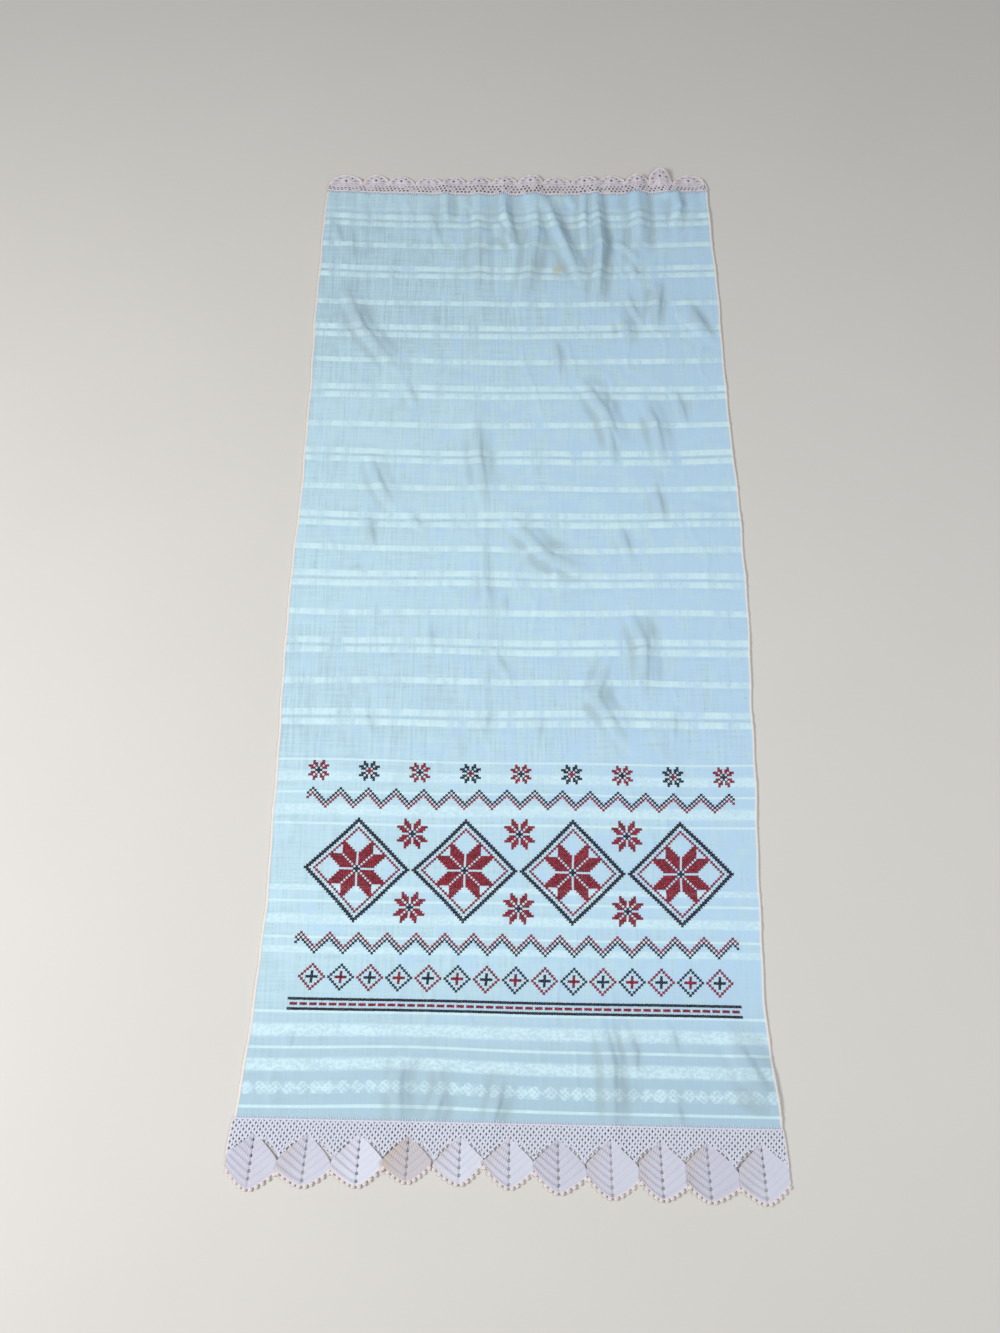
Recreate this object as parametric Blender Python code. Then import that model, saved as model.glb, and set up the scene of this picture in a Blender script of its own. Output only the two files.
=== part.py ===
"""A ritual towel lying face up: a handwoven cloth with crocheted lace sewn along both short ends.

X runs across the towel, +Y up its length and +Z out of the face that shows. Z = 0 is the surface that
it lies on, and the origin is near the middle of the cloth's underside. Sizes are in millimetres until a
mesh is made from them.
"""

from collections import namedtuple

import bpy
import numpy as np

MM = 0.001

CLOTH_THICKNESS = 1.2
LACE_THICKNESS = 1.6
SEAM_GAP = 0.3

# The cloth's two long edges, at stations up its length.
Station = namedtuple("Station", "y left right")
EDGES = (
    Station(-463.0, -228.6, 211.9),
    Station(-452.0, -228.2, 210.6),
    Station(-407.0, -223.6, 206.6),
    Station(-360.0, -219.0, 204.7),
    Station(-277.0, -214.9, 207.1),
    Station(-189.0, -214.1, 211.4),
    Station(-96.0, -214.2, 214.2),
    Station(4.0, -214.2, 218.1),
    Station(111.0, -209.4, 217.4),
    Station(225.0, -207.3, 213.6),
    Station(348.0, -207.1, 213.7),
    Station(450.0, -204.6, 211.2),
    Station(495.0, -202.0, 209.8),
)

# The hem falls a little to the right, and the top end is drawn in, so its middle lies lower.
HEM_MIDDLE_Y = -456.0
HEM_SLOPE = -0.0205
TOP_MIDDLE_Y = 486.0
TOP_MIDDLE_X = 10.0
TOP_HALF_WIDTH = 205.0
TOP_SAG = 6.0

# The edges and the two ends depend on each other, and settle in a few rounds.
OUTLINE_ROUNDS = 4

# Columns and rows of the cloth's grid lie closer where it is gathered.
COLUMN_STRETCHES = ((0.0, 0.40, 15), (0.40, 0.93, 38), (0.93, 1.0, 3))
ROW_STRETCHES = ((0.0, 0.12, 8), (0.12, 0.55, 16), (0.55, 1.0, 28))

# Soft folds: three points along each, half its width, and its rise at those points.
Fold = namedtuple("Fold", "start middle end half_width rises")
FOLDS = (
    Fold((87, 520), (92, 413), (86, 345), 11, (2.0, 7.0, 1.0)),
    Fold((77, 520), (76, 453), (77, 405), 8, (2.0, 3.0, 0.5)),
    Fold((34, 476), (49, 431), (71, 376), 12, (2.5, 5.0, 1.5)),
    Fold((20, 510), (24, 433), (8, 337), 15, (2.0, 4.5, 1.0)),
    Fold((-12, 505), (-9, 456), (2, 414), 9, (2.0, 4.0, 0.5)),
    Fold((-37, 500), (-37, 406), (-36, 333), 16, (1.5, 2.2, 0.5)),
    Fold((-73, 500), (-71, 464), (-71, 442), 11, (1.5, 2.2, 0.4)),
    Fold((135, 515), (136, 442), (130, 400), 15, (3.0, 4.5, 1.0)),
    Fold((164, 522), (163, 500), (168, 470), 11, (6.5, 3.0, 0.5)),
    Fold((177, 500), (178, 472), (174, 445), 10, (1.5, 3.0, 0.5)),
    Fold((-179, 370), (-157, 314), (-117, 260), 15, (0.5, 3.0, 0.8)),
    Fold((107, 335), (115, 313), (114, 290), 12, (0.5, 2.5, 0.3)),
    Fold((172, 333), (186, 315), (200, 296), 13, (0.5, 2.5, 0.3)),
    Fold((68, 250), (91, 211), (103, 175), 15, (0.5, 3.0, 0.5)),
    Fold((134, 222), (141, 196), (149, 148), 14, (0.5, 2.5, 0.5)),
    Fold((-37, 204), (-36, 162), (-26, 103), 16, (0.5, 2.0, 0.5)),
    Fold((-5, 96), (28, 53), (68, 34), 16, (0.5, 2.5, 0.5)),
    Fold((-141, 160), (-131, 129), (-115, 100), 15, (0.4, 2.0, 0.4)),
    Fold((108, -5), (120, -42), (118, -95), 15, (0.4, 2.5, 0.5)),
    Fold((88, -60), (72, -92), (104, -142), 14, (0.4, 2.2, 0.4)),
    Fold((170, -382), (192, -419), (208, -440), 20, (0.5, 4.0, 1.0)),
    Fold((71, -376), (77, -410), (77, -462), 12, (0.4, 2.6, 1.0)),
    Fold((-93, -405), (-97, -426), (-94, -458), 12, (0.4, 2.2, 1.2)),
    Fold((-12, -425), (-17, -442), (-22, -460), 11, (0.4, 2.2, 1.0)),
    Fold((-55, -428), (-62, -438), (-69, -456), 11, (0.4, 2.2, 1.0)),
)

# The bottom lace: leaves that point down, each with the notch on its right.
Leaf = namedtuple("Leaf", "tip_x tip_y notch_x notch_y lift")
LEAVES = (
    Leaf(-213.7, -503.7, -191.2, -489.2, 0.0),
    Leaf(-170.7, -501.5, -148.5, -488.5, 1.6),
    Leaf(-128.2, -501.5, -107.6, -485.6, 0.6),
    Leaf(-89.0, -498.6, -69.6, -484.8, 2.6),
    Leaf(-47.3, -500.1, -28.5, -483.4, 1.2),
    Leaf(-7.9, -503.0, 11.9, -488.5, 1.6),
    Leaf(31.3, -506.6, 54.4, -492.8, 0.8),
    Leaf(73.5, -510.2, 96.1, -495.8, 1.4),
    Leaf(113.4, -511.6, 133.7, -499.4, 1.8),
    Leaf(150.9, -513.0, 174.5, -501.5, 2.2),
    Leaf(194.6, -514.5, 213.7, -498.5, 1.2),
)
LACE_LEFT = (-232.0, -486.0)
LEAF_COLUMNS = 6
LEAF_ROWS = 16
LEAF_ROUNDING = 1.35
LEAF_TOP_DROP = 10.0
LEAF_SIDE_DROP = 18.0
LEAF_EDGE_FADE = 4.0
LEAF_CURL = 3
RIB_RISE = 0.8
SPINE_DROP = 0.5

# The top lace: fans that point up, each from its left notch to the next fan's.
Fan = namedtuple("Fan", "left peak_y")
FANS = (
    Fan(-200.0, 512.5),
    Fan(-164.0, 512.0),
    Fan(-136.0, 510.0),
    Fan(-107.0, 509.5),
    Fan(-78.0, 509.5),
    Fan(-52.0, 509.5),
    Fan(-24.0, 510.5),
    Fan(4.0, 511.0),
    Fan(32.0, 510.0),
    Fan(62.0, 510.0),
    Fan(91.5, 511.0),
    Fan(121.6, 511.0),
    Fan(148.0, 518.0),
    Fan(173.0, 512.0),
)
FANS_RIGHT = 207.5
FAN_NOTCH_Y = 499.0
FAN_COLUMNS = 5
FAN_ROWS = 6
FAN_BASE_BUNCHING = 0.9
FAN_RIB_RISE = 0.6
FAN_BASE_SHARE = 0.45
FAN_RIB_FADE = 4.0

# What a piece adds to the folds: how far it is lifted, and how far its face is raised.
Relief = namedtuple("Relief", "lift ribs")

SMOOTH_ANGLE = 50
CLOTH_BLUE = (0.50, 0.66, 0.75, 1.0)
LACE_LILAC = (0.66, 0.64, 0.72, 1.0)
CLOTH_ROUGHNESS = 0.85
LACE_ROUGHNESS = 0.9


def clear_scene():
    """Start from nothing."""
    for item in list(bpy.data.objects):
        bpy.data.objects.remove(item, do_unlink=True)


def make_material(name, colour, roughness):
    """A plain finish for one piece."""
    material = bpy.data.materials.new(name)
    material.use_nodes = True
    shader = material.node_tree.nodes["Principled BSDF"]
    shader.inputs["Base Color"].default_value = colour
    shader.inputs["Roughness"].default_value = roughness
    shader.inputs["Metallic"].default_value = 0.0
    return material


def fold_height(x, y):
    """How far the folds lift the sheet at each point: the sum of soft ridges, zero where it lies flat."""
    height = np.zeros(np.shape(x))
    for fold in FOLDS:
        height += ridge(x, y, fold)
    return height


def ridge(x, y, fold):
    """One fold: its rise runs along two straight stretches and fades to nothing at its half width."""
    points = (fold.start, fold.middle, fold.end)
    nearest = np.full(np.shape(x), np.inf)
    rise = np.zeros(np.shape(x))
    for index in (0, 1):
        (x0, y0), (x1, y1) = points[index], points[index + 1]
        run_x, run_y = x1 - x0, y1 - y0
        share = ((x - x0) * run_x + (y - y0) * run_y) / (run_x**2 + run_y**2)
        share = np.clip(share, 0.0, 1.0)
        away = np.hypot(x - x0 - share * run_x, y - y0 - share * run_y)
        here = fold.rises[index] + share * (fold.rises[index + 1] - fold.rises[index])
        rise = np.where(away < nearest, here, rise)
        nearest = np.minimum(nearest, away)
    across = np.clip(nearest / fold.half_width, 0.0, 1.0)
    return rise * np.cos(across * np.pi / 2) ** 2


def hem_y(x):
    """The line of the bottom hem, which the bottom lace hangs from."""
    return HEM_MIDDLE_Y + HEM_SLOPE * x


def top_y(x):
    """The line of the cloth's top end, drawn in so that its middle lies lower."""
    return TOP_MIDDLE_Y + TOP_SAG * ((x - TOP_MIDDLE_X) / TOP_HALF_WIDTH) ** 2


def edge_x(y):
    """The cloth's left and right edges at a height."""
    stations = [station.y for station in EDGES]
    left = np.interp(y, stations, [station.left for station in EDGES])
    right = np.interp(y, stations, [station.right for station in EDGES])
    return left, right


def spread(stretches):
    """Shares from 0 to 1, in even steps within each stretch (start, end, steps)."""
    parts = [np.linspace(start, end, steps, endpoint=False) for start, end, steps in stretches]
    return np.append(np.concatenate(parts), 1.0)


def surface_normals(points):
    """Unit normals of a grid of points whose rows run up and whose columns run right."""
    up = np.gradient(points, axis=0)
    right = np.gradient(points, axis=1)
    normals = np.cross(right, up)
    return normals / np.linalg.norm(normals, axis=2, keepdims=True)


def grid_faces(rows, columns, offset, flip):
    """The four-sided faces of a grid of points."""
    index = np.arange(rows * columns).reshape(rows, columns) + offset
    corners = [index[:-1, :-1], index[:-1, 1:], index[1:, 1:], index[1:, :-1]]
    if flip:
        corners.reverse()
    return np.stack(corners, axis=-1).reshape(-1, 4)


def rim_faces(rows, columns):
    """The faces that close the edge between the lower grid and the upper one."""
    lower = np.arange(rows * columns).reshape(rows, columns)
    way_round = np.concatenate(
        (lower[0, :-1], lower[:-1, -1], lower[-1, :0:-1], lower[:0:-1, 0])
    )
    after = np.roll(way_round, -1)
    above = rows * columns
    return np.stack((way_round, after, after + above, way_round + above), axis=-1)


def make_sheet(name, x, y, thickness, relief, material):
    """One closed sheet that lies on the folds, with its thickness and relief on the face that shows."""
    lower = np.stack((x, y, fold_height(x, y) + relief.lift), axis=-1)
    upper = lower + surface_normals(lower) * (thickness + relief.ribs)[..., None]
    rows, columns = x.shape
    points = np.concatenate((lower.reshape(-1, 3), upper.reshape(-1, 3))) * MM
    faces = np.concatenate(
        (
            grid_faces(rows, columns, 0, flip=True),
            grid_faces(rows, columns, rows * columns, flip=False),
            rim_faces(rows, columns),
        )
    )
    mesh = bpy.data.meshes.new(name)
    mesh.from_pydata(points.tolist(), [], faces.tolist())
    mesh.materials.append(material)
    mesh.shade_smooth()
    mesh.set_sharp_from_angle(angle=np.radians(SMOOTH_ANGLE))
    piece = bpy.data.objects.new(name, mesh)
    bpy.context.scene.collection.objects.link(piece)
    return piece


def make_cloth(material):
    """The woven panel, from its hem to its drawn-in top end."""
    across, along = np.meshgrid(spread(COLUMN_STRETCHES), spread(ROW_STRETCHES))
    x = (2 * across - 1) * TOP_HALF_WIDTH
    for _ in range(OUTLINE_ROUNDS):
        y = hem_y(x) + along * (top_y(x) - hem_y(x))
        left, right = edge_x(y)
        x = left + across * (right - left)
    flat = Relief(np.zeros(x.shape), np.zeros(x.shape))
    return make_sheet("cloth", x, y, CLOTH_THICKNESS, flat, material)


def leaf_columns():
    """For each column of the bottom lace: its place on the free edge, its share of the way out from the
    leaf's spine, and how far its side of the leaf is lifted."""
    rows = []
    notch = LACE_LEFT
    for leaf in LEAVES:
        tip = (leaf.tip_x, leaf.tip_y)
        right_notch = (leaf.notch_x, leaf.notch_y)
        for share in np.linspace(1.0, 0.0, LEAF_COLUMNS, endpoint=False):
            rows.append(free_edge(tip, notch, share) + (share, leaf.lift))
        for share in np.linspace(0.0, 1.0, LEAF_COLUMNS, endpoint=False):
            rows.append(free_edge(tip, right_notch, share) + (share, 0.0))
        notch = right_notch
    rows.append(free_edge(tip, notch, 1.0) + (1.0, 0.0))
    return np.array(rows).T


def free_edge(tip, notch, share):
    """A point on a leaf's lower edge: round at the tip, straighter towards the notch."""
    x = tip[0] + (notch[0] - tip[0]) * share
    y = tip[1] + (notch[1] - tip[1]) * share**LEAF_ROUNDING
    return x, y


def make_bottom_lace(material):
    """Eleven leaves with raised V ribs, under a band of net that joins them to the hem."""
    edge, edge_y, out, lift = leaf_columns()
    hem_left, hem_right = edge_x(HEM_MIDDLE_Y)
    seam_x = hem_left + (edge - edge[0]) / (edge[-1] - edge[0]) * (hem_right - hem_left)
    seam_y = hem_y(seam_x) - SEAM_GAP
    up = np.linspace(0.0, 1.0, LEAF_ROWS + 1)[:, None]
    x = edge + up * (seam_x - edge)
    y = edge_y + up * (seam_y - edge_y)
    leaf_top = seam_y - LEAF_TOP_DROP - LEAF_SIDE_DROP * out
    inside = np.clip((leaf_top - y) / LEAF_EDGE_FADE, 0.0, 1.0)
    odd_rows = (np.arange(LEAF_ROWS + 1) % 2)[:, None]
    ribs = inside * (RIB_RISE * odd_rows - SPINE_DROP * (out == 0.0))
    lifted = inside * lift * out**LEAF_CURL
    return make_sheet("lace_bottom", x, y, LACE_THICKNESS, Relief(lifted, ribs), material)


def make_top_lace(material):
    """Fourteen fans with ribs that spread from the base of each, on a narrow band of net."""
    lefts = [fan.left for fan in FANS] + [FANS_RIGHT]
    steps = np.linspace(-1.0, 1.0, 2 * FAN_COLUMNS, endpoint=False)
    along = np.linspace(0.0, 1.0, FAN_ROWS + 1)[:, None]
    spans = np.diff(lefts)
    centres = np.repeat(lefts[:-1] + spans / 2, steps.size)
    halves = np.repeat(spans / 2, steps.size)
    peaks = np.repeat([fan.peak_y for fan in FANS], steps.size)
    out = np.tile(steps, len(FANS))
    centres, halves = np.append(centres, centres[-1]), np.append(halves, halves[-1])
    peaks, out = np.append(peaks, peaks[-1]), np.append(out, 1.0)
    bunched = np.sign(out) * np.abs(out) ** (1 + FAN_BASE_BUNCHING * (1 - along))
    rim_y = FAN_NOTCH_Y + (peaks - FAN_NOTCH_Y) * np.sqrt(1 - out**2)
    x = centres + halves * bunched
    seam_y = top_y(x) + SEAM_GAP
    y = seam_y + along * (rim_y - seam_y)
    odd_columns = np.arange(out.size) % 2
    ribs = FAN_RIB_RISE * odd_columns * np.clip((along - FAN_BASE_SHARE) * FAN_RIB_FADE, 0.0, 1.0)
    flat = np.zeros(x.shape)
    return make_sheet("lace_top", x, y, LACE_THICKNESS, Relief(flat, ribs), material)


def main():
    """Build the cloth and both laces."""
    clear_scene()
    cloth = make_material("cloth", CLOTH_BLUE, CLOTH_ROUGHNESS)
    lace = make_material("lace", LACE_LILAC, LACE_ROUGHNESS)
    make_cloth(cloth)
    make_bottom_lace(lace)
    make_top_lace(lace)


main()
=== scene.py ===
"""The looks of a handwoven ritual towel that lies face up, with crocheted lace along both short ends.

Sizes are in millimetres, in the frame of the solids: X runs across the towel, +Y up its length and
+Z out of the face that shows, with Z = 0 the surface that it lies on. Each mesh is turned to metres
when it is made.
"""

import logging
import math
from collections.abc import Callable
from dataclasses import dataclass
from enum import Enum

import bpy
import numpy as np
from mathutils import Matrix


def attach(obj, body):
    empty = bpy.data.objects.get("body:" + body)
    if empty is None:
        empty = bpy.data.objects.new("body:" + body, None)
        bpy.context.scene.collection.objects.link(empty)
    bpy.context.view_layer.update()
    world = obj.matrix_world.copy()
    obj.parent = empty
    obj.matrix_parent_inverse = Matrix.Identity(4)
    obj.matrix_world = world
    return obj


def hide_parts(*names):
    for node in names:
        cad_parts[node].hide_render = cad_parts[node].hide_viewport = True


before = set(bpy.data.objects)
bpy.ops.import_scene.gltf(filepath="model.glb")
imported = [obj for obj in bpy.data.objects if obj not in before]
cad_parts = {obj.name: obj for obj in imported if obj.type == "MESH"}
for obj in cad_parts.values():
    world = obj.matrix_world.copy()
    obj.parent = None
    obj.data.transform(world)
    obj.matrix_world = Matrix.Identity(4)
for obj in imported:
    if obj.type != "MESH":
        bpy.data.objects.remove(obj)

Array = np.ndarray
Pair = tuple[float, float]
Triple = tuple[float, float, float]
Colour = tuple[float, float, float, float]

MM = 0.001
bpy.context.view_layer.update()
LOG = logging.getLogger("towel")


class Thread(Enum):
    """What a cell of the embroidery chart holds."""

    NONE = 0
    RED = 1
    BLACK = 2


class Band(Enum):
    """How a woven stripe is made: thick soft wefts, a mottled weave, a row of small rosettes, or a
    slack furrow between two others."""

    PLAIN = "band"
    MOTTLED = "mottled"
    ROSETTE = "rosette"
    FURROW = "furrow"


def screen(red: int, green: int, blue: int) -> Colour:
    """A colour given as screen values from 0 to 255, as linear light.

    Args:
        red, green, blue: the screen values.

    Returns:
        The linear colour with full alpha: each value over 255, raised to the power 2.2.
    """
    linear = [(value / 255) ** 2.2 for value in (red, green, blue)]
    return linear[0], linear[1], linear[2], 1.0


class Wire:
    """An output socket. Arithmetic on wires that carry numbers adds Math nodes."""

    def __init__(self, paint: "Paint", socket: bpy.types.NodeSocket) -> None:
        """Wraps a socket of a paint's node tree."""
        self.paint = paint
        self.socket = socket

    def math(self, operation: str, *values: "Wire | float") -> "Wire":
        """Puts this number and others through one Math node.

        Args:
            operation: the Math node's operation.
            values: its other inputs, in order.

        Returns:
            The result.
        """
        inputs = dict(enumerate((self, *values)))
        return self.paint.node("Math", 0, {"operation": operation}, inputs)

    def __add__(self, other: "Wire | float") -> "Wire":
        """self + other."""
        return self.math("ADD", other)

    __radd__ = __add__

    def __mul__(self, other: "Wire | float") -> "Wire":
        """self * other."""
        return self.math("MULTIPLY", other)

    __rmul__ = __mul__

    def __sub__(self, other: "Wire | float") -> "Wire":
        """self - other."""
        return self.math("SUBTRACT", other)

    def __rsub__(self, other: float) -> "Wire":
        """other - self."""
        return (self * -1.0) + other

    def sine(self) -> "Wire":
        """The sine of self."""
        return self.math("SINE")

    def top(self, other: "Wire | float") -> "Wire":
        """The larger of self and other."""
        return self.math("MAXIMUM", other)

    def step(self, low: float, high: float) -> "Wire":
        """Rises smoothly from 0 at low to 1 at high.

        Args:
            low: where the rise starts.
            high: where it ends.

        Returns:
            The smooth step.
        """
        inputs = {"Value": self, "From Min": low, "From Max": high}
        return self.paint.node("MapRange", 0, {"interpolation_type": "SMOOTHSTEP"}, inputs)

    def between(self, rise: Pair, fall: Pair) -> "Wire":
        """Rises smoothly from 0 to 1 over one stretch and falls back over another."""
        return self.step(*rise) * (1.0 - self.step(*fall))


class Paint:
    """The nodes of one material, around its Principled BSDF."""

    SHEEN_ROUGHNESS = 0.5
    SPECULAR = 0.25

    def __init__(self, name: str, roughness: float, sheen: float = 0.0) -> None:
        """Starts a material.

        Args:
            name: the material's name.
            roughness: how matt it is.
            sheen: the soft light that fibres give at the edges.
        """
        self.material = bpy.data.materials.new(name)
        self.material.use_nodes = True
        self.tree = self.material.node_tree
        self.sockets = self.tree.nodes["Principled BSDF"].inputs
        self.plug(self.sockets["Roughness"], roughness)
        self.plug(self.sockets["Sheen Weight"], sheen)
        self.plug(self.sockets["Sheen Roughness"], self.SHEEN_ROUGHNESS)
        self.plug(self.sockets["Specular IOR Level"], self.SPECULAR)

    def node(
        self, kind: str, output: int | str, settings: dict | None = None, inputs: dict | None = None
    ) -> Wire:
        """Adds any node.

        Args:
            kind: the node's type, without ShaderNode in front.
            output: the name or number of the socket that is wanted.
            settings: the node's own properties, set first.
            inputs: numbers, colours or wires for its input sockets.

        Returns:
            The wanted output.
        """
        made = self.tree.nodes.new(f"ShaderNode{kind}")
        for name, value in (settings or {}).items():
            setattr(made, name, value)
        for name, value in (inputs or {}).items():
            self.plug(made.inputs[name], value)
        return Wire(self, made.outputs[output])

    def plug(self, socket: bpy.types.NodeSocket, value: "Wire | float | tuple") -> None:
        """Links a wire to a socket, or sets the socket's own value.

        Args:
            socket: the input.
            value: the wire or value that it takes.
        """
        if isinstance(value, Wire):
            self.tree.links.new(value.socket, socket)
        else:
            socket.default_value = value

    def mix(self, share: "Wire | float", first: "Wire | Colour", second: "Wire | Colour") -> Wire:
        """A blend of two colours: first where share is 0 and second where it is 1."""
        return self.node("Mix", 2, {"data_type": "RGBA"}, {0: share, 6: first, 7: second})

    def value(self, name: str) -> Wire:
        """A number that the mesh holds at each point, by its attribute's name."""
        return self.node("Attribute", "Fac", {"attribute_name": name})

    def place(self, scale: Triple) -> Wire:
        """The point on the piece in metres, stretched by a factor along each axis."""
        point = self.node("TexCoord", "Object")
        return self.node("VectorMath", 0, {"operation": "MULTIPLY"}, {0: point, 1: scale})

    def noise(self, scale: Triple, detail: float = 3.0, roughness: float = 0.6) -> Wire:
        """Soft noise around 0.5, with so many bumps to a metre along each axis."""
        inputs = {"Vector": self.place(scale), "Scale": 1.0, "Detail": detail, "Roughness": roughness}
        return self.node("TexNoise", 0, None, inputs)

    def finish(self, colour: Wire, relief: Wire | None = None, depth: float = 0.0) -> None:
        """Plugs the results into the shader.

        Args:
            colour: the base colour.
            relief: height from 0 to 1 for the bump.
            depth: the bump's full depth in metres.
        """
        self.plug(self.sockets["Base Color"], colour)
        if relief is not None:
            inputs = {"Height": relief, "Distance": depth, "Strength": 1.0}
            self.plug(self.sockets["Normal"], self.node("Bump", 0, None, inputs))


class Weave:
    """The places and noises that the steps of the cloth's colouring share: slubs are stretched along
    each thread's way, and knots are where three noises add up."""

    def __init__(self, paint: Paint) -> None:
        """Adds their nodes to a paint.

        Args:
            paint: the cloth's paint.
        """
        self.paint = paint
        self.across = paint.value("across")
        self.along = paint.value("along")
        self.warp_streaks = paint.noise((460.0, 17.0, 1.0), 4.0, 0.7)
        self.weft_slubs = paint.noise((22.0, 620.0, 1.0), 4.0, 0.65)
        self.clouds = paint.noise((60.0, 45.0, 1.0))
        self.tufts = paint.noise((62.0, 40.0, 1.0), 3.0, 0.75)
        self.threads = paint.noise((640.0, 60.0, 1.0), 2.0)
        self.wear = paint.noise((48.0, 9.0, 1.0), 4.0, 0.8)
        self.blots = paint.noise((260.0, 400.0, 1.0), 3.0, 0.7)
        self.patches = paint.noise((45.0, 90.0, 1.0), 2.0, 0.55)
        lumps = self.blots * 1.1 + (self.patches - 0.5) * 0.5 + (self.threads - 0.5) * 0.3
        self.knots = (lumps - 0.05).step(0.38, 0.62)

    def checker(self, half_turns: float) -> Wire:
        """Two crossed sine waves, with so many half turns to a millimetre."""
        turn = math.pi * half_turns
        return (self.across * turn).sine() * (self.along * turn).sine()


@dataclass(frozen=True)
class ClothFinish:
    """Handwoven cotton: a bluish ground, brighter weft stripes, mottled bands and a pale selvedge.
    Each stretch is given in millimetres up the cloth from the hem."""

    ground: Colour = screen(189, 221, 234)
    lilac: Colour = screen(182, 214, 238)
    shade: Colour = screen(163, 190, 206)
    # Painted shade: the next two colours darken the hollows and grey the folds where they catch the light.
    hollow_shade: Colour = screen(152, 171, 173)
    fold_shade: Colour = screen(157, 177, 184)
    stripe: Colour = screen(206, 235, 243)
    mottle: Colour = screen(206, 235, 245)
    selvedge: Colour = screen(232, 222, 217)
    stain: Colour = screen(188, 188, 166)
    stain_at: Pair = (47.3, 386.0)
    stain_size: float = 12.0
    threads_per_mm: float = 1.15
    rosette_mm: float = 10.5
    rosette_cell_mm: float = 2.1
    hem_end: Pair = (20.0, 130.0)
    hem_shade: float = 0.68
    solid_end: Pair = (300.0, 330.0)
    middle: tuple[Pair, Pair] = ((280.0, 330.0), (390.0, 440.0))
    middle_grey: float = 0.13
    # Painted shade near the top end, stronger on the left.
    upper: tuple[Pair, Pair] = ((670.0, 780.0), (870.0, 930.0))
    top_painted_shade: float = 0.155
    plain_grey: float = 0.14
    top_end: Pair = (850.0, 910.0)
    # How far painted shade greys the folds, and how far it does near the top end.
    fold_shade_share: float = 0.28
    top_fold_shade_share: float = 0.10
    relief_depth: float = 0.00025

    def ground_colour(self, weave: Weave) -> Wire:
        """The ground, more lilac to the right, darker next to the hem and greyed in uneven threads,
        more in a middle stretch; the greying near the top end and toward the left is painted shade.

        Args:
            weave: the shared places and noises.

        Returns:
            The colour.
        """
        mix, across, along = weave.paint.mix, weave.across, weave.along
        colour = mix((weave.clouds + across * 0.0007).step(0.38, 0.66), self.ground, self.lilac)
        colour = mix((1.0 - along.step(*self.hem_end)) * self.hem_shade, colour, self.shade)
        streaks = (weave.warp_streaks - 0.5) * 1.2 + (weave.weft_slubs - 0.5) * 0.9
        uneven = streaks + (weave.clouds - 0.5) * 0.6
        # Painted shade: darker near the top end, more on the left.
        greyed = along.between(*self.upper) * (across * -0.0005 + self.top_painted_shade)
        greyed = greyed + along.between(*self.middle) * self.middle_grey
        # Painted shade: the ground greys more toward the left.
        greyed = greyed + across * -0.0006 + self.plain_grey
        return mix((uneven * -1.3 + greyed).step(0.0, 1.0), colour, self.shade)

    def stripe_share(self, weave: Weave) -> Wire:
        """Plain stripes, frayed at their edges and worn through in places above the embroidery.

        Args:
            weave: the shared places and noises.

        Returns:
            How far each place is a stripe.
        """
        band = (weave.paint.value("band") + (weave.threads - 0.5) * 0.25).step(0.0, 0.3)
        frayed = (weave.tufts - 0.5) * 2.0 + (weave.threads - 0.5) * 0.7
        unworn = (frayed * 0.6 + (weave.wear - 0.5) * 2.6 + 0.55).step(0.0, 0.9)
        solid = (1.0 - weave.along.step(*self.solid_end)) * 0.8
        return band * unworn.top(solid)

    def rosette_share(self, weave: Weave) -> Wire:
        """Rosettes in a row: how far each place is from a rosette's middle, a chequered block within
        it, and wear over both.

        Args:
            weave: the shared places and noises.

        Returns:
            How far each place is a rosette.
        """
        row = weave.paint.value("rosette")
        swayed = weave.across + (weave.patches - 0.5) * 9.0
        centre_off = (swayed * (1 / self.rosette_mm)).math("PINGPONG", 0.5) * 2.0
        bloom = 1.0 - (centre_off - row).step(-0.1, 0.3)
        checker = weave.checker(1 / self.rosette_cell_mm)
        block = (checker + (weave.blots - 0.5) * 2.0).step(-0.8, 0.2)
        flower = bloom * (block * 0.6 + weave.knots * 0.4)
        return row.step(0.0, 0.25) * (flower * 0.75 + weave.wear.step(0.4, 0.7) * 0.4)

    def stain_share(self, weave: Weave) -> Wire:
        """One round stain with a ragged rim: the distance from its middle over its size.

        Args:
            weave: the shared places and noises.

        Returns:
            How far each place is stained.
        """
        to_share = 1 / (self.stain_size * MM)
        spot = weave.paint.place((to_share, to_share, 0.0))
        centre = (self.stain_at[0] / self.stain_size, self.stain_at[1] / self.stain_size, 0.0)
        away = weave.paint.node("VectorMath", "Value", {"operation": "DISTANCE"}, {0: spot, 1: centre})
        return 1.0 - (away + (weave.clouds - 0.5) * 1.5).step(0.0, 1.0)

    def material(self) -> bpy.types.Material:
        """Plain weave in the relief, and over the ground the bands, the selvedge, the stain and painted
        shade over the folds and in the hollows, each where the mesh's own values put it.

        Returns:
            The material.
        """
        paint = Paint("cloth_weave", 0.85, 0.1)
        weave = Weave(paint)
        stripe = self.stripe_share(weave)
        rosette = self.rosette_share(weave)
        mottled = paint.value("mottled").step(0.0, 0.5) * (weave.knots * 0.55 + 0.4)
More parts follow.
